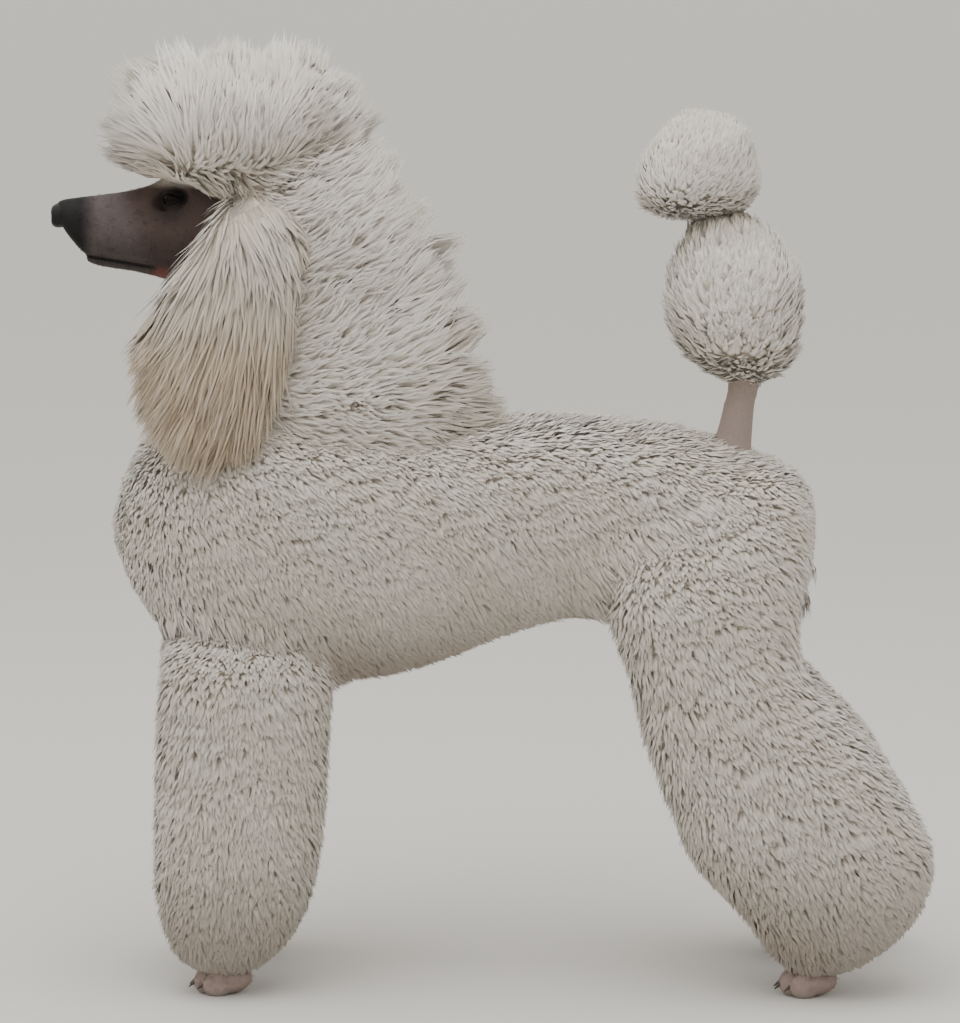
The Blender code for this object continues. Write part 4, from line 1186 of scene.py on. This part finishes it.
def maneLie(roots, ways):
    # up and back along the crest and its sides, down and forward on the throat
    x, z = roots[:, 0], roots[:, 2]
    rear = smoothstep(-0.30, -0.22, x)[:, None]
    back = towards(ways, 0.80, 0.45, 0.75 * smoothstep(0.60, 0.74, z) - 0.15)
    high = smoothstep(0.78, 0.83, z)[:, None]
    front = towards(ways, *mane["temple"]) * high + towards(ways, *mane["throat"]) * (1 - high)
    return back * rear + front * (1 - rear)


def topknotLie(roots, ways):
    # up and back over the skull, with the front locks curling forward over the brow
    x, z = roots[:, 0], roots[:, 2]
    front = smoothstep(-0.31, -0.36, x)[:, None]
    rear = smoothstep(-0.26, -0.19, x)[:, None]
    middle, brow, nape, temple = (towards(ways, *top[key]) for key in ("middle", "brow", "nape", "temple"))
    lie = middle * (1 - front) * (1 - rear) + brow * front + nape * rear
    low = smoothstep(0.915, 0.885, z)[:, None] * (1 - front)
    return lie * (1 - low) + temple * low


def growMane():
    headShape = (head, 30, 24)
    low = lambda roots, ways: roots[:, 2] < mane["split"]
    high = lambda roots, ways: roots[:, 2] >= mane["split"]
    for name, count, keep in (("coat_mane_low", mane["low"], low), ("coat_mane_high", mane["high"], high)):
        dress(name, neck, maneTips, count, maneLie, flowing, blocked=[headShape], keep=keep, lift=0.42,
              sway=(0.07, 0.12), limit=0.22, least=0.030, wild=crest)
    clear = lambda roots, ways: (roots[:, 0] >= top["faceFrom"]) | (roots[:, 2] >= top["faceTop"])
    lift = lambda roots, ways: 0.15 + 0.30 * smoothstep(0.880, 0.925, roots[:, 2])
    cream = lambda places: 0.06 + top["cream"] * np.exp(
        -spot(places[:, 0], places[:, 2], top["creamAt"], top["creamSize"]))
    dress("coat_topknot", topknot, topknotTips, top["count"], topknotLie, dict(flowing, pull=0.55),
          blocked=[headShape], keep=clear, lift=lift, sway=(0.07, 0.16), limit=0.22, least=0.036, wild=crest,
          tint=cream)


growMane()
print("mane and topknot ready")


# Ears: straight hair in fine streaks, white above and cream below
ears = {"count": 5200, "fan": -0.40, "spread": 5.0, "centre": 0.280, "whiteFrom": 0.800, "creamFrom": 0.670,
        "cream": 0.85, "backAtTop": 0.75, "lift": 0.12, "rearLift": 0.10, "topLift": 0.42,
        "topFrom": (0.80, 0.85), "edgeFrom": (0.78, 0.80), "edgeLift": 0.12, "inner": -0.35}


def growEars():

    def cream(places):
        return 0.08 + ears["cream"] * smoothstep(ears["whiteFrom"], ears["creamFrom"], places[:, 2])

    def rise(roots, ways):
        # steeper at the back and most on the top of the ear, where it stands off the head
        atTop = smoothstep(*ears["topFrom"], roots[:, 2]) * smoothstep(0.6, 0.95, np.abs(ways[:, 1]))
        return ears["lift"] + ears["rearLift"] * smoothstep(-0.5, 0.0, ways[:, 0]) + ears["topLift"] * atTop

    for word, side in sides.items():

        def lie(roots, ways, side=side):
            fan = ears["fan"] + ears["spread"] * (roots[:, 0] + ears["centre"])
            fan += ears["backAtTop"] * smoothstep(0.790, 0.850, roots[:, 2])
            hanging = np.stack([fan, np.full(len(roots), 0.10 * side), np.full(len(roots), -1.0)], axis=1)
            # along the front edge the hair keeps to the leather
            edge = (smoothstep(-0.2, -0.6, ways[:, 0]) * smoothstep(*ears["edgeFrom"], roots[:, 2]))[:, None]
            flat = hanging - ways * (hanging * ways).sum(axis=1, keepdims=True)
            return hanging * (1 - edge) + (flat + ways * ears["edgeLift"]) * edge

        outer = lambda roots, ways, side=side: ways[:, 1] * side > ears["inner"]
        dress("coat_ear_" + word, placed(ear, side=side), placed(earTips, side=side), ears["count"], lie,
              dict(flowing, width=0.0052, curl=0.0010, pull=0.32, ragged=0.15), keep=outer, lift=rise,
              sway=(0.07, 0.06), limit=0.22, least=0.040, tint=cream)


growEars()
print("ears ready")


# Face and feet: clipped hair of a few millimetres, in the skin's own colours, longer where it meets the coat
fuzz = dict(plush, segments=1, width=0.0011, pull=0.3, curl=0.0, ragged=0.2, soft=0.7, rooted=0.0004)
clipped = {"count": 14000, "short": 0.0022, "long": 0.0080, "lift": 0.35, "eyeGap": 1.5, "noseEnd": -0.456,
           "footTop": 0.040, "footBottom": 0.008, "footHair": 0.5, "scatter": 0.0006,
           "back": np.array((1.0, 0.0, -0.25))}


def growFuzz():
    mesh = skinPiece.data
    middles, normals = (numbersOf(mesh.polygons, name, 3) for name in ("center", "normal"))
    x, y, z = middles.T
    wanted = within(faceBox, x, y, z) & (x > clipped["noseEnd"]) | within(templeBox, x, y, z)
    wanted |= (z < clipped["footTop"]) & (z > clipped["footBottom"])
    for side in sides.values():
        _, _, out, near = besideEye(middles, side)
        wanted &= (near > clipped["eyeGap"]) | (np.abs(out) > eye["deep"])
    share = np.cumsum(numbersOf(mesh.polygons, "area") * wanted)
    count = int(clipped["count"] * density)
    pick = np.searchsorted(share, random.random(count) * share[-1])
    roots = middles[pick] + random.normal(size=(count, 3)) * clipped["scatter"]
    ways = normals[pick]
    flat = clipped["back"] - ways * (ways @ clipped["back"])[:, None]
    lies = unit(flat + ways * 0.3 + 0.25 * random.normal(size=(count, 3)))
    hair = np.where(z[pick] > clipped["footTop"], hairiness(x[pick], z[pick]), clipped["footHair"])
    lengths = clipped["short"] + (clipped["long"] - clipped["short"]) * hair
    strands = {"roots": roots, "ways": ways, "starts": unit(ways * clipped["lift"] + lies), "lies": lies,
               "lengths": lengths * random.uniform(0.7, 1.1, count), "smooth": ways, "wild": np.ones(count)}
    colours = numbersOf(mesh.attributes["skinMark"].data, "color", 4)
    cornerVerts = numbersOf(mesh.loops, "vertex_index", kind=int)
    growCoat("coat_face_and_feet", strands, fuzz, colours[cornerVerts[skinStarts[pick]]])


growFuzz()
print("face and feet ready")
